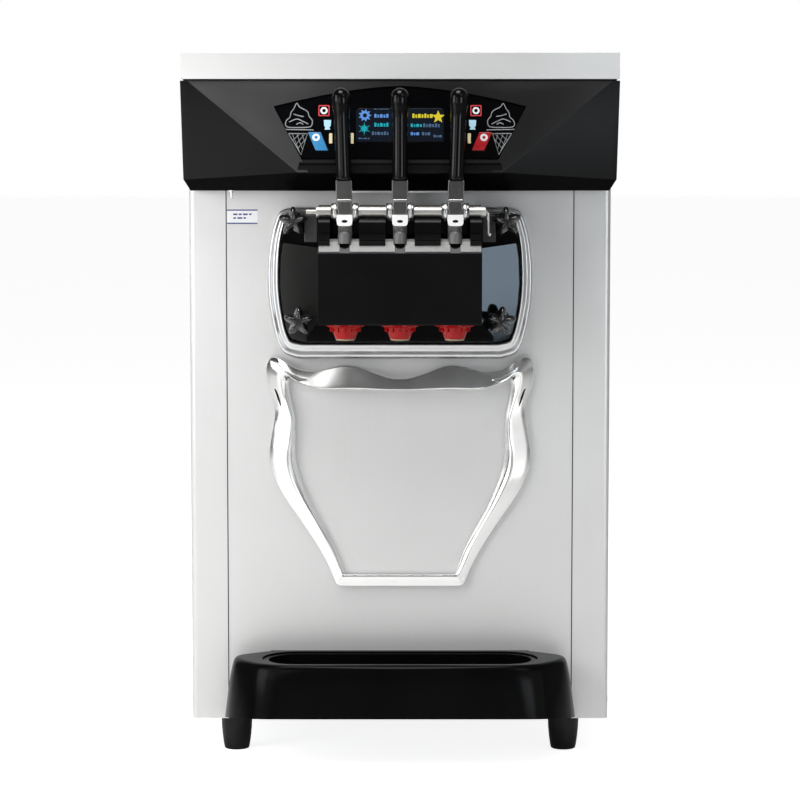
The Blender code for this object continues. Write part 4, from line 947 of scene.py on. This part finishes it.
def block():
    """The dispensing block: flange, cheeks with knob bosses, body, deck plates, saddles and bumpers."""
    flange = plate([door_inner(-0.0008)], 0.014, upright(-0.0074), 0.0008)
    for side, tag in ((-1, "left"), (1, "right")):
        wing = mm(
            (98, 639), (142.5, 645), (144, 642), (146.4, 625), (147.5, 595), (145.6, 570), (141.8, 548),
            (138.3, 534.5), (133, 526.8), (118, 523), (98, 523)
        )
        wing = [(side * x, z) for x, z in wing]
        loops = [[(x, -0.012, z) for x, z in wing]]
        loops.append([(x, -0.0357 + max(0, abs(x) - 0.098) * 0.2, z) for x, z in wing])
        cheek = bevelled(loft(loops), 0.0012, 3, 40)
        x, z = KNOBS["lower_" + tag]
        cheek = joined(cheek, rod(BOSS_RADIUS, (x, -0.01, z), (x, -0.0362, z), 40, edge=0.001))
        # left and right wings get different copies of one black: painted light on the left, a painted
        # bluish reflection on the right
        piece(cheek, "block_wing_" + tag, "cabinet", "cheek" if tag == "left" else "wing")
        x, z = KNOBS["upper_" + tag]
        flange = joined(flange, rod(BOSS_RADIUS, (x, -0.01, z), (x, -0.0362, z), 40, edge=0.001))
        shoulder = box(
            (side * 0.1083 - 0.0083, -0.056, 0.6465), (side * 0.1083 + 0.0083, -0.013, 0.68), 0.0016, 3
        )
        piece(shoulder, "block_shoulder_" + tag, "cabinet", "shoulder")
    floor = mm((-115, 523), (115, 523), (115, 530), (98.5, 549.4), (-98.5, 549.4), (-115, 530))
    floor = plate([floor], 0.022, upright(-0.0245), 0.0008)
    piece(together(flange, floor), "block_flange", "cabinet", "gloss")

    profile = mm(
        (-15, 548.8), (-108.5, 548.8), (-109.9, 550.2), (-109.9, 635.2), (-109.2, 636.2), (-101, 646.2),
        (-15, 646.2)
    )
    body = plate([profile], 0.197, sideways())
    for _, x in LCR:
        body = cut(body, rod(0.0133, (x, PLUNGER_Y, 0.54), (x, PLUNGER_Y, 0.7), 48))
    body = bevelled(body, 0.001, 3, 20)
    piece(body, "block_body", "cabinet", "block", ["dispensing_block"])

    slope = mm(
        (-96, 646.25), (-96, 652), (-96.6, 652.6), (-98.5, 651.8), (-99.8, 648.8), (-101.3, 646.8),
        (-109.8, 637.3), (-109.7, 636), (-109, 636.2), (-100.8, 646.25)
    )
    bright = []
    for x0, x1 in ((-0.0978, -0.0722), (-0.0608, -0.0057), (0.0057, 0.0608), (0.0722, 0.0978)):
        bright.append(bevelled(plate([slope], x1 - x0, sideways((x0 + x1) / 2)), 0.0005, 2, 40))
    # the plates are bright steel given a near-black tone: painted shade
    piece(together(*bright), "block_deck_plates", "cabinet", "ledge", sharp=20)

    saddles = ((-0.0982, -0.0842), (-0.049, -0.0175), (0.0175, 0.049), (0.0842, 0.0982))
    for k, (x0, x1) in enumerate(saddles):
        piece(hump(x0, x1), "pin_saddle_%d" % (k + 1), "cabinet", "saddle")
    for tag, x in LCR:
        dome = mm((0, 662), (4.6, 661.8), (6.6, 660.6), (7.8, 658.4), (8.3, 655), (8.3, 646.8), (0, 646.8))
        bumper = turned(dome, (x, -0.099, 0), sides=32)
        piece(bumper, "lever_bumper_" + tag, "cabinet", "heel", sharp=50)


# a knob's loops, back to front: share of the full size, y, and how deep the valleys between lobes are
KNOB_LOOPS = (
    (0.0, -0.049, 0), (0.84, -0.0492, 0), (0.93, -0.0502, 0), (0.98, -0.053, 0), (1.0, -0.058, 0),
    (0.985, -0.0618, 0.5), (0.94, -0.0644, 0.9), (0.84, -0.0664, 1), (0.72, -0.0684, 1),
    (0.64, -0.0689, 0.8), (0.56, -0.0686, 0.4), (0.5, -0.0682, 0), (0.0, -0.0682, 0),
)


def star_knobs():
    """Five-lobed knobs: each loop is drawn at its share of the full size, in front of a hub."""
    for n, (name, (x, z)) in enumerate(KNOBS.items()):
        loops = []
        turn = math.radians((90, 96, 90, 84)[n])
        for grow, y, valley in KNOB_LOOPS:
            ring = []
            for k in range(60):
                a = 2 * math.pi * k / 60
                swell = 0.5 + 0.5 * math.cos(5 * a)
                r = max(0.0004, (0.011 + 0.0074 * swell**1.1) * grow)
                sunk = 0.0056 * valley * (1 - swell)
                ring.append((x + r * math.cos(a + turn), y + sunk, z + r * math.sin(a + turn)))
            loops.append(ring)
        hub = turned(mm((0, 40.6), (8.8, 40.6), (9.4, 41.2), (9, 50), (0, 50)), (x, 0, z), (0, -1, 0), 36)
        knob = together(loft(loops), hub)
        piece(knob, name + "_knob", "knob_" + name, "knob", ["star_knob_" + name], 60, False)


def leaned(shape, x):
    """The outer two handles lean slightly away from the middle one above the pin."""
    lean = Matrix.Identity(4)
    lean[0][2] = math.copysign(0.03, x) if x else 0.0
    pivot = Vector((x, PIN_Y, PIN_Z))
    return moved(shape, Matrix.Translation(pivot) @ lean @ Matrix.Translation(-pivot))


def levers():
    """The three draw handles. Each grip and lever lean together, and what is on the pin stays upright."""
    for tag, x in LCR:
        body = "handle_" + tag
        boss = mm(
            (7.4, -16.6), (9.8, -16.6), (10.5, -15.8), (10.5, -11.8), (9.2, -10.4), (9.2, 10.4),
            (10.5, 11.8), (10.5, 15.8), (9.8, 16.6), (7.4, 16.6), (7.4, -16.6)
        )
        boss = turned(boss, (x, PIN_Y, PIN_Z), (1, 0, 0), 48)
        arm = mm(
            (-9.8, 722.2), (-9.8, 699), (-8.8, 694), (-7.8, 690), (7.8, 690), (8.8, 694), (9.8, 699),
            (9.8, 722.2)
        )
        bar = plate([[(x + a, b) for a, b in arm]], 0.0068, upright(PIN_Y), 0.001, 3)
        # a lighter steel band across the lever at its bend, standing in for the bend's highlight: painted
        # highlight
        fold_highlight = box((x - 0.0086, -0.098, 0.6974), (x + 0.0086, -0.09, 0.6996), 0.0009, 3)
        piece(leaned(fold_highlight, x), "lever_fold_highlight_" + tag, body, "ears", (), 40)
        cheek = mm((-8.6, 697.2), (-9.2, 690), (-7.5, 681.5), (7.5, 681.5), (9.2, 690), (8.6, 697.2))
        shield = plate([[(x + a, b) for a, b in cheek]], 0.004, upright(-0.0998), 0.0012, 3)
        arm = together(boss, leaned(bar, x))
        piece(arm, "lever_arm_" + tag, body, "lever", ["handle_lever_" + tag], 40)
        piece(shield, "lever_shield_" + tag, body, "lever", (), 40)
        ears = []
        for s in (-1, 1):
            a = x + s * 0.0131
            rim = mm(
                (0, -3.4), (9.8, -3.4), (10.6, -2.8), (10.9, -1.4), (10.7, 0.4), (9.8, 1.8), (9, 3.2),
                (8.2, 3.6), (0, 3.6)
            )
            ears.append(turned(rim, (a, PIN_Y, PIN_Z), (s, 0, 0), 40))
            ears[-1] = cut(ears[-1], rod(PIN_HOLE, (a - 0.01, PIN_Y, PIN_Z), (a + 0.01, PIN_Y, PIN_Z), 40))
        piece(together(*ears), "lever_ears_" + tag, body, "ears", (), 40)
        tongue_half = [
            (0.0094, 0.6812), (0.0096, 0.6755), (0.009, 0.6704), (0.0072, 0.6682), (0.004, 0.6678)
        ]
        outline = mirrored(smooth(tongue_half, 3))
        tongue = plate([[(x + a, b) for a, b in outline]], 0.0066, upright(-0.1031))
        eye = [(x + 0.0036 * a, 0.6734 + 0.0018 * b) for a, b in circle(0, 0, 1, 24)]
        tongue = bevelled(cut(tongue, plate([eye], 0.006, upright(-0.107))), 0.001, 3, 40)
        piece(tongue, "lever_tongue_" + tag, body, "tongue", (), 40)
        # a black plate fills the tongue's eye: painted shade where the hole shows darkness
        eye_shade = plate([eye], 0.002, upright(-0.104))
        piece(eye_shade, "tongue_eye_shade_" + tag, body, "seal", (), weighted=False)
        low, high = (x - 0.0049, PIN_Y + 0.009, PIN_Z - 0.0019), (x + 0.0049, PLUNGER_Y, PIN_Z + 0.0019)
        tip = rod(0.0039, (x - 0.0049, PLUNGER_Y, PIN_Z), (x + 0.0049, PLUNGER_Y, PIN_Z), 28, edge=0.0004)
        piece(
            together(box(low, high, 0.0004, 2), tip), "lever_finger_" + tag, body, "bright", (),
            40
        )

        top, radius = 0.8328, 0.0117
        dome = [(radius * b, top - radius + radius * a) for a, b in arc((0, 0), 1, 9, 90, 9)]
        profile = mm(
            (11.8, 817.2), (11.5, 813), (10.6, 808.5), (9.8, 804), (9.4, 796), (9.2, 780), (9.2, 760),
            (9.4, 740), (9.6, 727), (9.4, 724), (8.8, 723), (0, 723)
        )
        grip = leaned(turned([(0, top)] + dome + profile, (x, PIN_Y, 0), sides=56), x)
        piece(grip, "grip_" + tag, body, "grip", ["handle_grip_" + tag], 60, False)


def pin():
    """The pin with its collars, a thin left end and its bent finger pull."""
    across = {"start": (0, PIN_Y, PIN_Z), "direction": (1, 0, 0)}
    shaft = mm(
        (0, -113), (2.6, -113), (3, -112.4), (3, -100.4), (5.6, -100.2), (6.7, -99.2), (6.7, 102),
        (6.2, 103.4), (0, 103.4)
    )
    shaft = turned(shaft, **across)
    collar = mm((0, -2.4), (6.6, -2.4), (7, 0), (6.6, 2.4), (0, 2.4))
    collars = [turned([(r, s * 0.0984 + h) for r, h in collar], sides=40, **across) for s in (-1, 1)]
    route = [
        (0.098, PIN_Y, PIN_Z), (0.103, PIN_Y, PIN_Z), (0.1052, PIN_Y, 0.6828), (0.106, PIN_Y, 0.68),
        (0.106, PIN_Y, 0.66), (0.1063, PIN_Y, 0.6578), (0.1074, PIN_Y, 0.6567), (0.1093, PIN_Y, 0.6566)
    ]
    wire = tube(smooth(route, 4), 0.0019)
    shaft = together(shaft, *collars, wire)
    piece(shaft, "pin_with_pull", "pivot_pin", "pin", ["pivot_pin"], 45)


def nozzles():
    """The ribbed caps under the block, each with a star opening in its tip."""
    for tag, x in LCR:
        profile = mm(
            (8.6, 548.2), (23.2, 548.2), (24, 547.4), (24, 545.8), (23.2, 544.9), (20, 544.6), (18, 543.8),
            (16.6, 541), (15.2, 537), (13.8, 533.5), (12.6, 530.6), (12, 529.8), (8.6, 529.8), (8.6, 548.2)
        )
        cap = turned(profile, (x, PLUNGER_Y, 0), sides=56)
        for k in range(12):
            turn = Matrix.Translation((x, PLUNGER_Y, 0)) @ Matrix.Rotation(2 * math.pi * k / 12, 4, "Z")
            rib = box((0.013, -0.001, 0.5385), (0.019, 0.001, 0.545), 0.0005, 2)
            cap = together(cap, moved(rib, turn))
        piece(cap, "nozzle_cap_" + tag, "cabinet", "red", ["star_nozzle_" + tag], 40)
        tip = mm((0, 530.5), (11.2, 530.5), (11.8, 529.6), (11.6, 528.1), (10.8, 527.6), (0, 527.6))
        opening = plate([star(x, PLUNGER_Y, 0.0076, 0.0046, 6)], 0.02, lying(0.529))
        tip = cut(turned(tip, (x, PLUNGER_Y, 0), sides=48), opening)
        piece(tip, "nozzle_tip_" + tag, "cabinet", "cream", sharp=40)


# ---------------------------------------------------------------- trim and tray
def trim():
    """The bright wavy frame, as a band whose cross-section changes all the way round."""
    # in mm: outer x, z; inner x, z; how far the outer edge, the crest and the inner edge stand out;
    # then the crest's place between the edges, as a share
    half = [
        (0, 477.5, 0, 462.2, 28.5, 31.2, 27, 0.88),
        (12, 478.5, 12, 462, 28.5, 31.2, 27, 0.88),
        (30, 484.5, 30, 461.8, 28, 31.2, 27, 0.88),
        (48, 491, 48, 461.6, 27.2, 31, 26, 0.88),
        (68, 493.5, 68, 461.4, 26.5, 30.5, 25, 0.88),
        (88, 490, 86, 461.6, 26, 30, 24, 0.88),
        (106, 486.2, 101, 463, 25, 29, 22, 0.87),
        (127, 489.5, 116, 466.6, 22.5, 27.5, 18, 0.84),
        (144, 498.5, 128, 470.5, 18, 25, 14, 0.78),
        (156, 503.5, 134.5, 473.5, 10, 22, 11, 0.66),
        (164.2, 498.5, 137.2, 470, 8, 19, 9, 0.58),
        (166.8, 486, 137.2, 462, 7, 17, 8, 0.58),
        (165.2, 470, 135.8, 452, 6, 15, 7, 0.64),
        (159, 452, 133.6, 441, 6, 14, 6, 0.72),
        (155.6, 433, 130.5, 425, 6, 14, 6, 0.78),
        (159.8, 406, 129.8, 403, 6, 15, 6, 0.8),
        (162.5, 384, 130, 382, 6, 15, 6, 0.72),
        (160.2, 362, 126.6, 360, 6, 15, 6, 0.66),
        (151.5, 339.5, 118.8, 338, 6, 14, 6, 0.66),
        (139, 319, 109.2, 316, 6, 13, 6, 0.7),
        (125.2, 299, 98, 295, 5, 12, 5, 0.72),
        (110.5, 277, 87.2, 275.5, 5, 11, 5, 0.66),
        (98.5, 257, 79.2, 259, 5, 10, 5, 0.6),
        (88.8, 238, 73.2, 244, 5, 10, 5, 0.6),
        (83.6, 226.2, 70.2, 235, 6.4, 9.8, 6.2, 0.66),
        (80.6, 219.6, 69, 231.4, 7.8, 9.7, 8, 0.74),
        (76.6, 216.6, 66.8, 230.6, 8.6, 9.7, 9, 0.8),
        (69, 215.8, 64, 230.5, 8.8, 9.7, 9.2, 0.82),
        (35, 215.8, 35, 230.5, 8.8, 9.7, 9.2, 0.82),
        (0, 215.8, 0, 230.5, 8.8, 9.7, 9.2, 0.82),
    ]
    loops = []
    for ox, oz, ix, iz, out, crest, inn, share in smooth([(*mm(row[:7])[0], row[7]) for row in half], 5):
        a, b = Vector((ox, oz)), Vector((ix, iz))
        rise = crest - out
        points = [(0.0, 0.0006), (0.0, out * 0.55), (0.012, out * 0.82), (0.05, out * 0.97 + rise * 0.04)]
        for part, risen in ((0.4, 0.4), (0.8, 0.84), (0.94, 0.97)):
            points.append((share * part, out + rise * risen))
        points.append((share, crest))
        for part, fallen in ((0.25, 0.1), (0.7, 0.55)):
            points.append((share + (1 - share) * part, crest - (crest - inn) * fallen))
        points += [(0.97, inn), (1.0, inn * 0.78), (1.0, 0.0006)]
        loops.append([(a.lerp(b, t).x, -d, a.lerp(b, t).y) for t, d in points])
    other = [[(-x, y, z) for x, y, z in loop] for loop in reversed(loops[1:-1])]
    band = loft(loops + other, cap=False)
    slots = []
    for side in (-1, 1):
        leaf = mm(
            (156, 463.2), (154.6, 460), (152.2, 452), (149.2, 444), (147, 440), (147.6, 445), (149.6, 453),
            (152.4, 460.6), (154.4, 463.4)
        )
        outline = [(side * x, z) for x, z in leaf]
        band = cut(band, plate([outline], 0.02, upright(-0.015)))
        slots.append(plate([[(x * 1.002, z) for x, z in outline]], 0.003, upright(-0.004)))
        pocket = mm(
            (151, 497.5), (144, 490.5), (134, 483.8), (122, 478), (113, 476.2), (111, 474), (115, 472.2),
            (123, 472.2), (133, 477), (142, 485), (149, 493)
        )
        mouth = [(side * x, -0.04, z) for x, z in pocket]
        end = [(0.131 + (x - 0.131) * 0.82, 0.4805 + (z - 0.4805) * 0.7) for x, z in pocket]
        band = cut(band, loft([mouth, [(side * x, -0.0195, z) for x, z in end]]))
    piece(together(*slots), "trim_slot_shadows", "cabinet", "gloss", weighted=False)
    piece(band, "wave_trim", "cabinet", "chrome", ["panel_trim"], 50, False)


def tray():
    """The housing flares from its top outline to its low one; the pan stands in its well."""
    top = mm(
        (161, 0), (180, -13), (196, -24), (203.5, -31), (205.2, -40), (203, -54), (195, -70), (179, -88),
        (164, -97.5), (144, -102.8), (120, -104.2), (60, -104.6), (0, -104.6)
    )
    low = mm(
        (219, 0), (219, -10), (218.6, -22), (217.6, -34), (215.8, -45), (211, -62), (202, -80), (188, -99),
        (174, -110.5), (156, -116), (125, -117.6), (60, -117.8), (0, -117.8)
    )
    top, low = smooth(top, 4), smooth(low, 4)
    z_top = 0.1334
    # how far towards the low outline, how far down, how far in
    steps = [
        (0.0, 0.0, 0.009), (0.0, 0.0, 0.0062), (0.01, 0.0005, 0.0036), (0.03, 0.0018, 0.0014),
        (0.11, 0.0044, 0.0003), (0.2, 0.008, 0.0), (0.45, 0.019, 0.0), (0.68, 0.035, 0.0),
        (0.87, 0.051, 0.0), (1.0, 0.0634, 0.0), (1.0, 0.0634, 0.003)
    ]
    loops = []
    for blend, fall, inset in steps:
        half = []
        for (ax, ay), (bx, by) in zip(top, low):
            x, y = ax + (bx - ax) * blend, ay + (by - ay) * blend
            drop = 0.02 * (1 + y / 0.118) * fall / 0.0634
            if inset and y < -0.001:
                scale = max(0.0, 1 - inset / max(0.02, math.hypot(x, y + 0.03)))
                x, y = x * scale, min(-0.0006, (y + 0.03) * scale - 0.03)
            half.append((x, min(y, -0.0006), z_top - fall - drop))
        loops.append(half + [(-x, y, z) for x, y, z in reversed(half[:-1])])
    shell = loft(loops)

    def oval(radius):
        return stadium(0.127, radius, -0.051)

    rim = plate([oval(0.043)], 0.0076, lying(z_top))
    well = plate([oval(0.0386)], 0.13, lying(z_top))
    shell = bevelled(cut(shell, rim, well), 0.0009, 3, 45)
    piece(shell, "tray_housing", "cabinet", "tray", ["drip_tray"], 40)

    pan_top = 0.1316
    lip = plate([oval(0.0422), oval(0.0352)], 0.0018, lying(pan_top - 0.0009), 0.0006, 2)
    cup = plate([oval(0.0374)], 0.044, lying(pan_top - 0.0005 - 0.022))
    cup = cut(cup, plate([oval(0.0354)], 0.044, lying(pan_top + 0.0004 - 0.02)))
    piece(
        together(lip, bevelled(cup, 0.0007, 2, 45)), "pan_body", "drip_pan", "tray", ["drip_pan"],
        40
    )


# ---------------------------------------------------------------- light, floor and camera
# The room's light by direction: towards, how narrow, how strong.
GLOW = (
    ((0.0, -1.0, 0.05), 14, 0.11),
    ((1.0, -0.15, 0.1), 6, 0.4),
    ((0.0, -0.75, 0.65), 10, 0.075),
    ((0.0, 1.0, 0.3), 2, 0.3),
)


# the lamps: name, place, size, power and what they point at
LAMPS = (
    ("near_left", (-0.62, PANEL - 0.5, 0.7), 0.5, 2.9, (-0.3, PANEL, 0.5)),
    ("left_card", (-0.62, PANEL - 0.5, 0.6), 0.5, 1.1, (-0.3, PANEL, 0.5)),
    ("low_left", (-0.62, PANEL - 0.5, 0.22), 0.5, 0.6, (-0.3, PANEL, 0.25)),
    ("fill_left", (-0.42, PANEL - 1.1, 0.8), 0.35, 0.8, (-0.2, PANEL, 0.42)),
    ("bounce", (0.0, PANEL - 0.75, 0.02), 0.6, 0.35, (0, PANEL, 0.2)),
    ("side_left", (-2.2, -1.6, 1.2), 1.2, 22, (-0.2, PANEL, 0.5)),
    ("top", (-0.2, -0.9, 2.4), 1.0, 33, (0, PANEL, 0.6)),
    ("right_window", (1.35, -2.75, 0.75), 0.8, 12, (0.12, PANEL, 0.6)),
    ("right_high", (1.0, -1.9, 2.0), 0.8, 4, (0.1, PANEL, 0.5)),
    ("low_right", (0.6, PANEL - 0.45, 0.28), 0.4, 0.4, (0.15, PANEL, 0.35)),
)


def studio():
    """The floor, the room's glow, the lamps and the camera."""
    floor = bpy.data.meshes.new("floor")
    bm = bmesh.new()
    bmesh.ops.create_grid(bm, x_segments=1, y_segments=1, size=30)
    bm.to_mesh(floor)
    bm.free()
    ground = bpy.data.objects.new("studio_floor", floor)
    bpy.context.scene.collection.objects.link(ground)
    white = surface("studio_floor", 0.93, 0.9, 0.0, 0.004, 0.02, 5, 0, shine=0.0)
    tree = white.node_tree
    seen = tree.nodes.new("ShaderNodeLightPath").outputs["Is Camera Ray"]
    level = add_node(tree, "MapRange", {"Value": seen, "To Min": 0.08, "To Max": 0.85})
    glow = {"Emission Color": (1, 1, 1, 1), "Emission Strength": level}
    feed(tree, tree.nodes["Principled BSDF"], glow)
    floor.materials.append(white)

    world = bpy.data.worlds.new("studio")
    bpy.context.scene.world = world
    world.use_nodes = True
    tree = world.node_tree
    toward = tree.nodes.new("ShaderNodeTexCoord").outputs["Generated"]
    total = 0.0
    for direction, sharpness, strength in GLOW:
        facing = tree.nodes.new("ShaderNodeVectorMath")
        facing.operation = "DOT_PRODUCT"
        feed(tree, facing, {0: toward, 1: Vector(direction).normalized()})
        narrow = {0: facing.outputs["Value"], 1: sharpness, 2: -sharpness}
        narrow = add_node(tree, "Math", narrow, operation="MULTIPLY_ADD")
        lobe = add_node(tree, "Math", {0: narrow}, operation="EXPONENT")
        total = add_node(tree, "Math", {0: lobe, 1: strength, 2: total}, operation="MULTIPLY_ADD")
    seen = tree.nodes.new("ShaderNodeLightPath").outputs["Is Camera Ray"]
    sky = blended(tree, seen, total, (1, 1, 1, 1))
    feed(tree, tree.nodes["Background"], {"Color": sky, "Strength": 1.0})

    for name, at, size, power, target in LAMPS:
        light = bpy.data.lights.new(name, "AREA")
        light.shape = "SQUARE"
        light.size = size
        light.energy = power
        light.color = (0.85, 0.93, 1.0) if name == "right_window" else (1, 1, 1)
        lamp = bpy.data.objects.new(name, light)
        lamp.location = at
        lamp.rotation_mode = "QUATERNION"
        lamp.rotation_quaternion = (Vector(target) - Vector(at)).to_track_quat("-Z", "Y")
        lamp.visible_camera = False
        lamp.visible_diffuse = name not in ("right_window", "left_card")
        lamp.visible_glossy = name != "near_left"
        bpy.context.scene.collection.objects.link(lamp)

    lens = bpy.data.cameras.new("camera")
    lens.sensor_width = 36
    lens.lens = LENS
    camera = bpy.data.objects.new("camera", lens)
    camera.location = (0, PANEL - CAMERA_DISTANCE, CAMERA_HEIGHT)
    camera.rotation_euler = (math.radians(90 - CAMERA_PITCH), 0, 0)
    bpy.context.scene.collection.objects.link(camera)
    bpy.context.scene.camera = camera
    bpy.context.scene.view_settings.view_transform = "Standard"


for make in (
    head, fascia, read_out, keys, top_deck, lid, louvres, rear_details, feet, seams, label,
    surround, block, star_knobs, levers, pin, nozzles, trim, tray, studio,
):
    make()
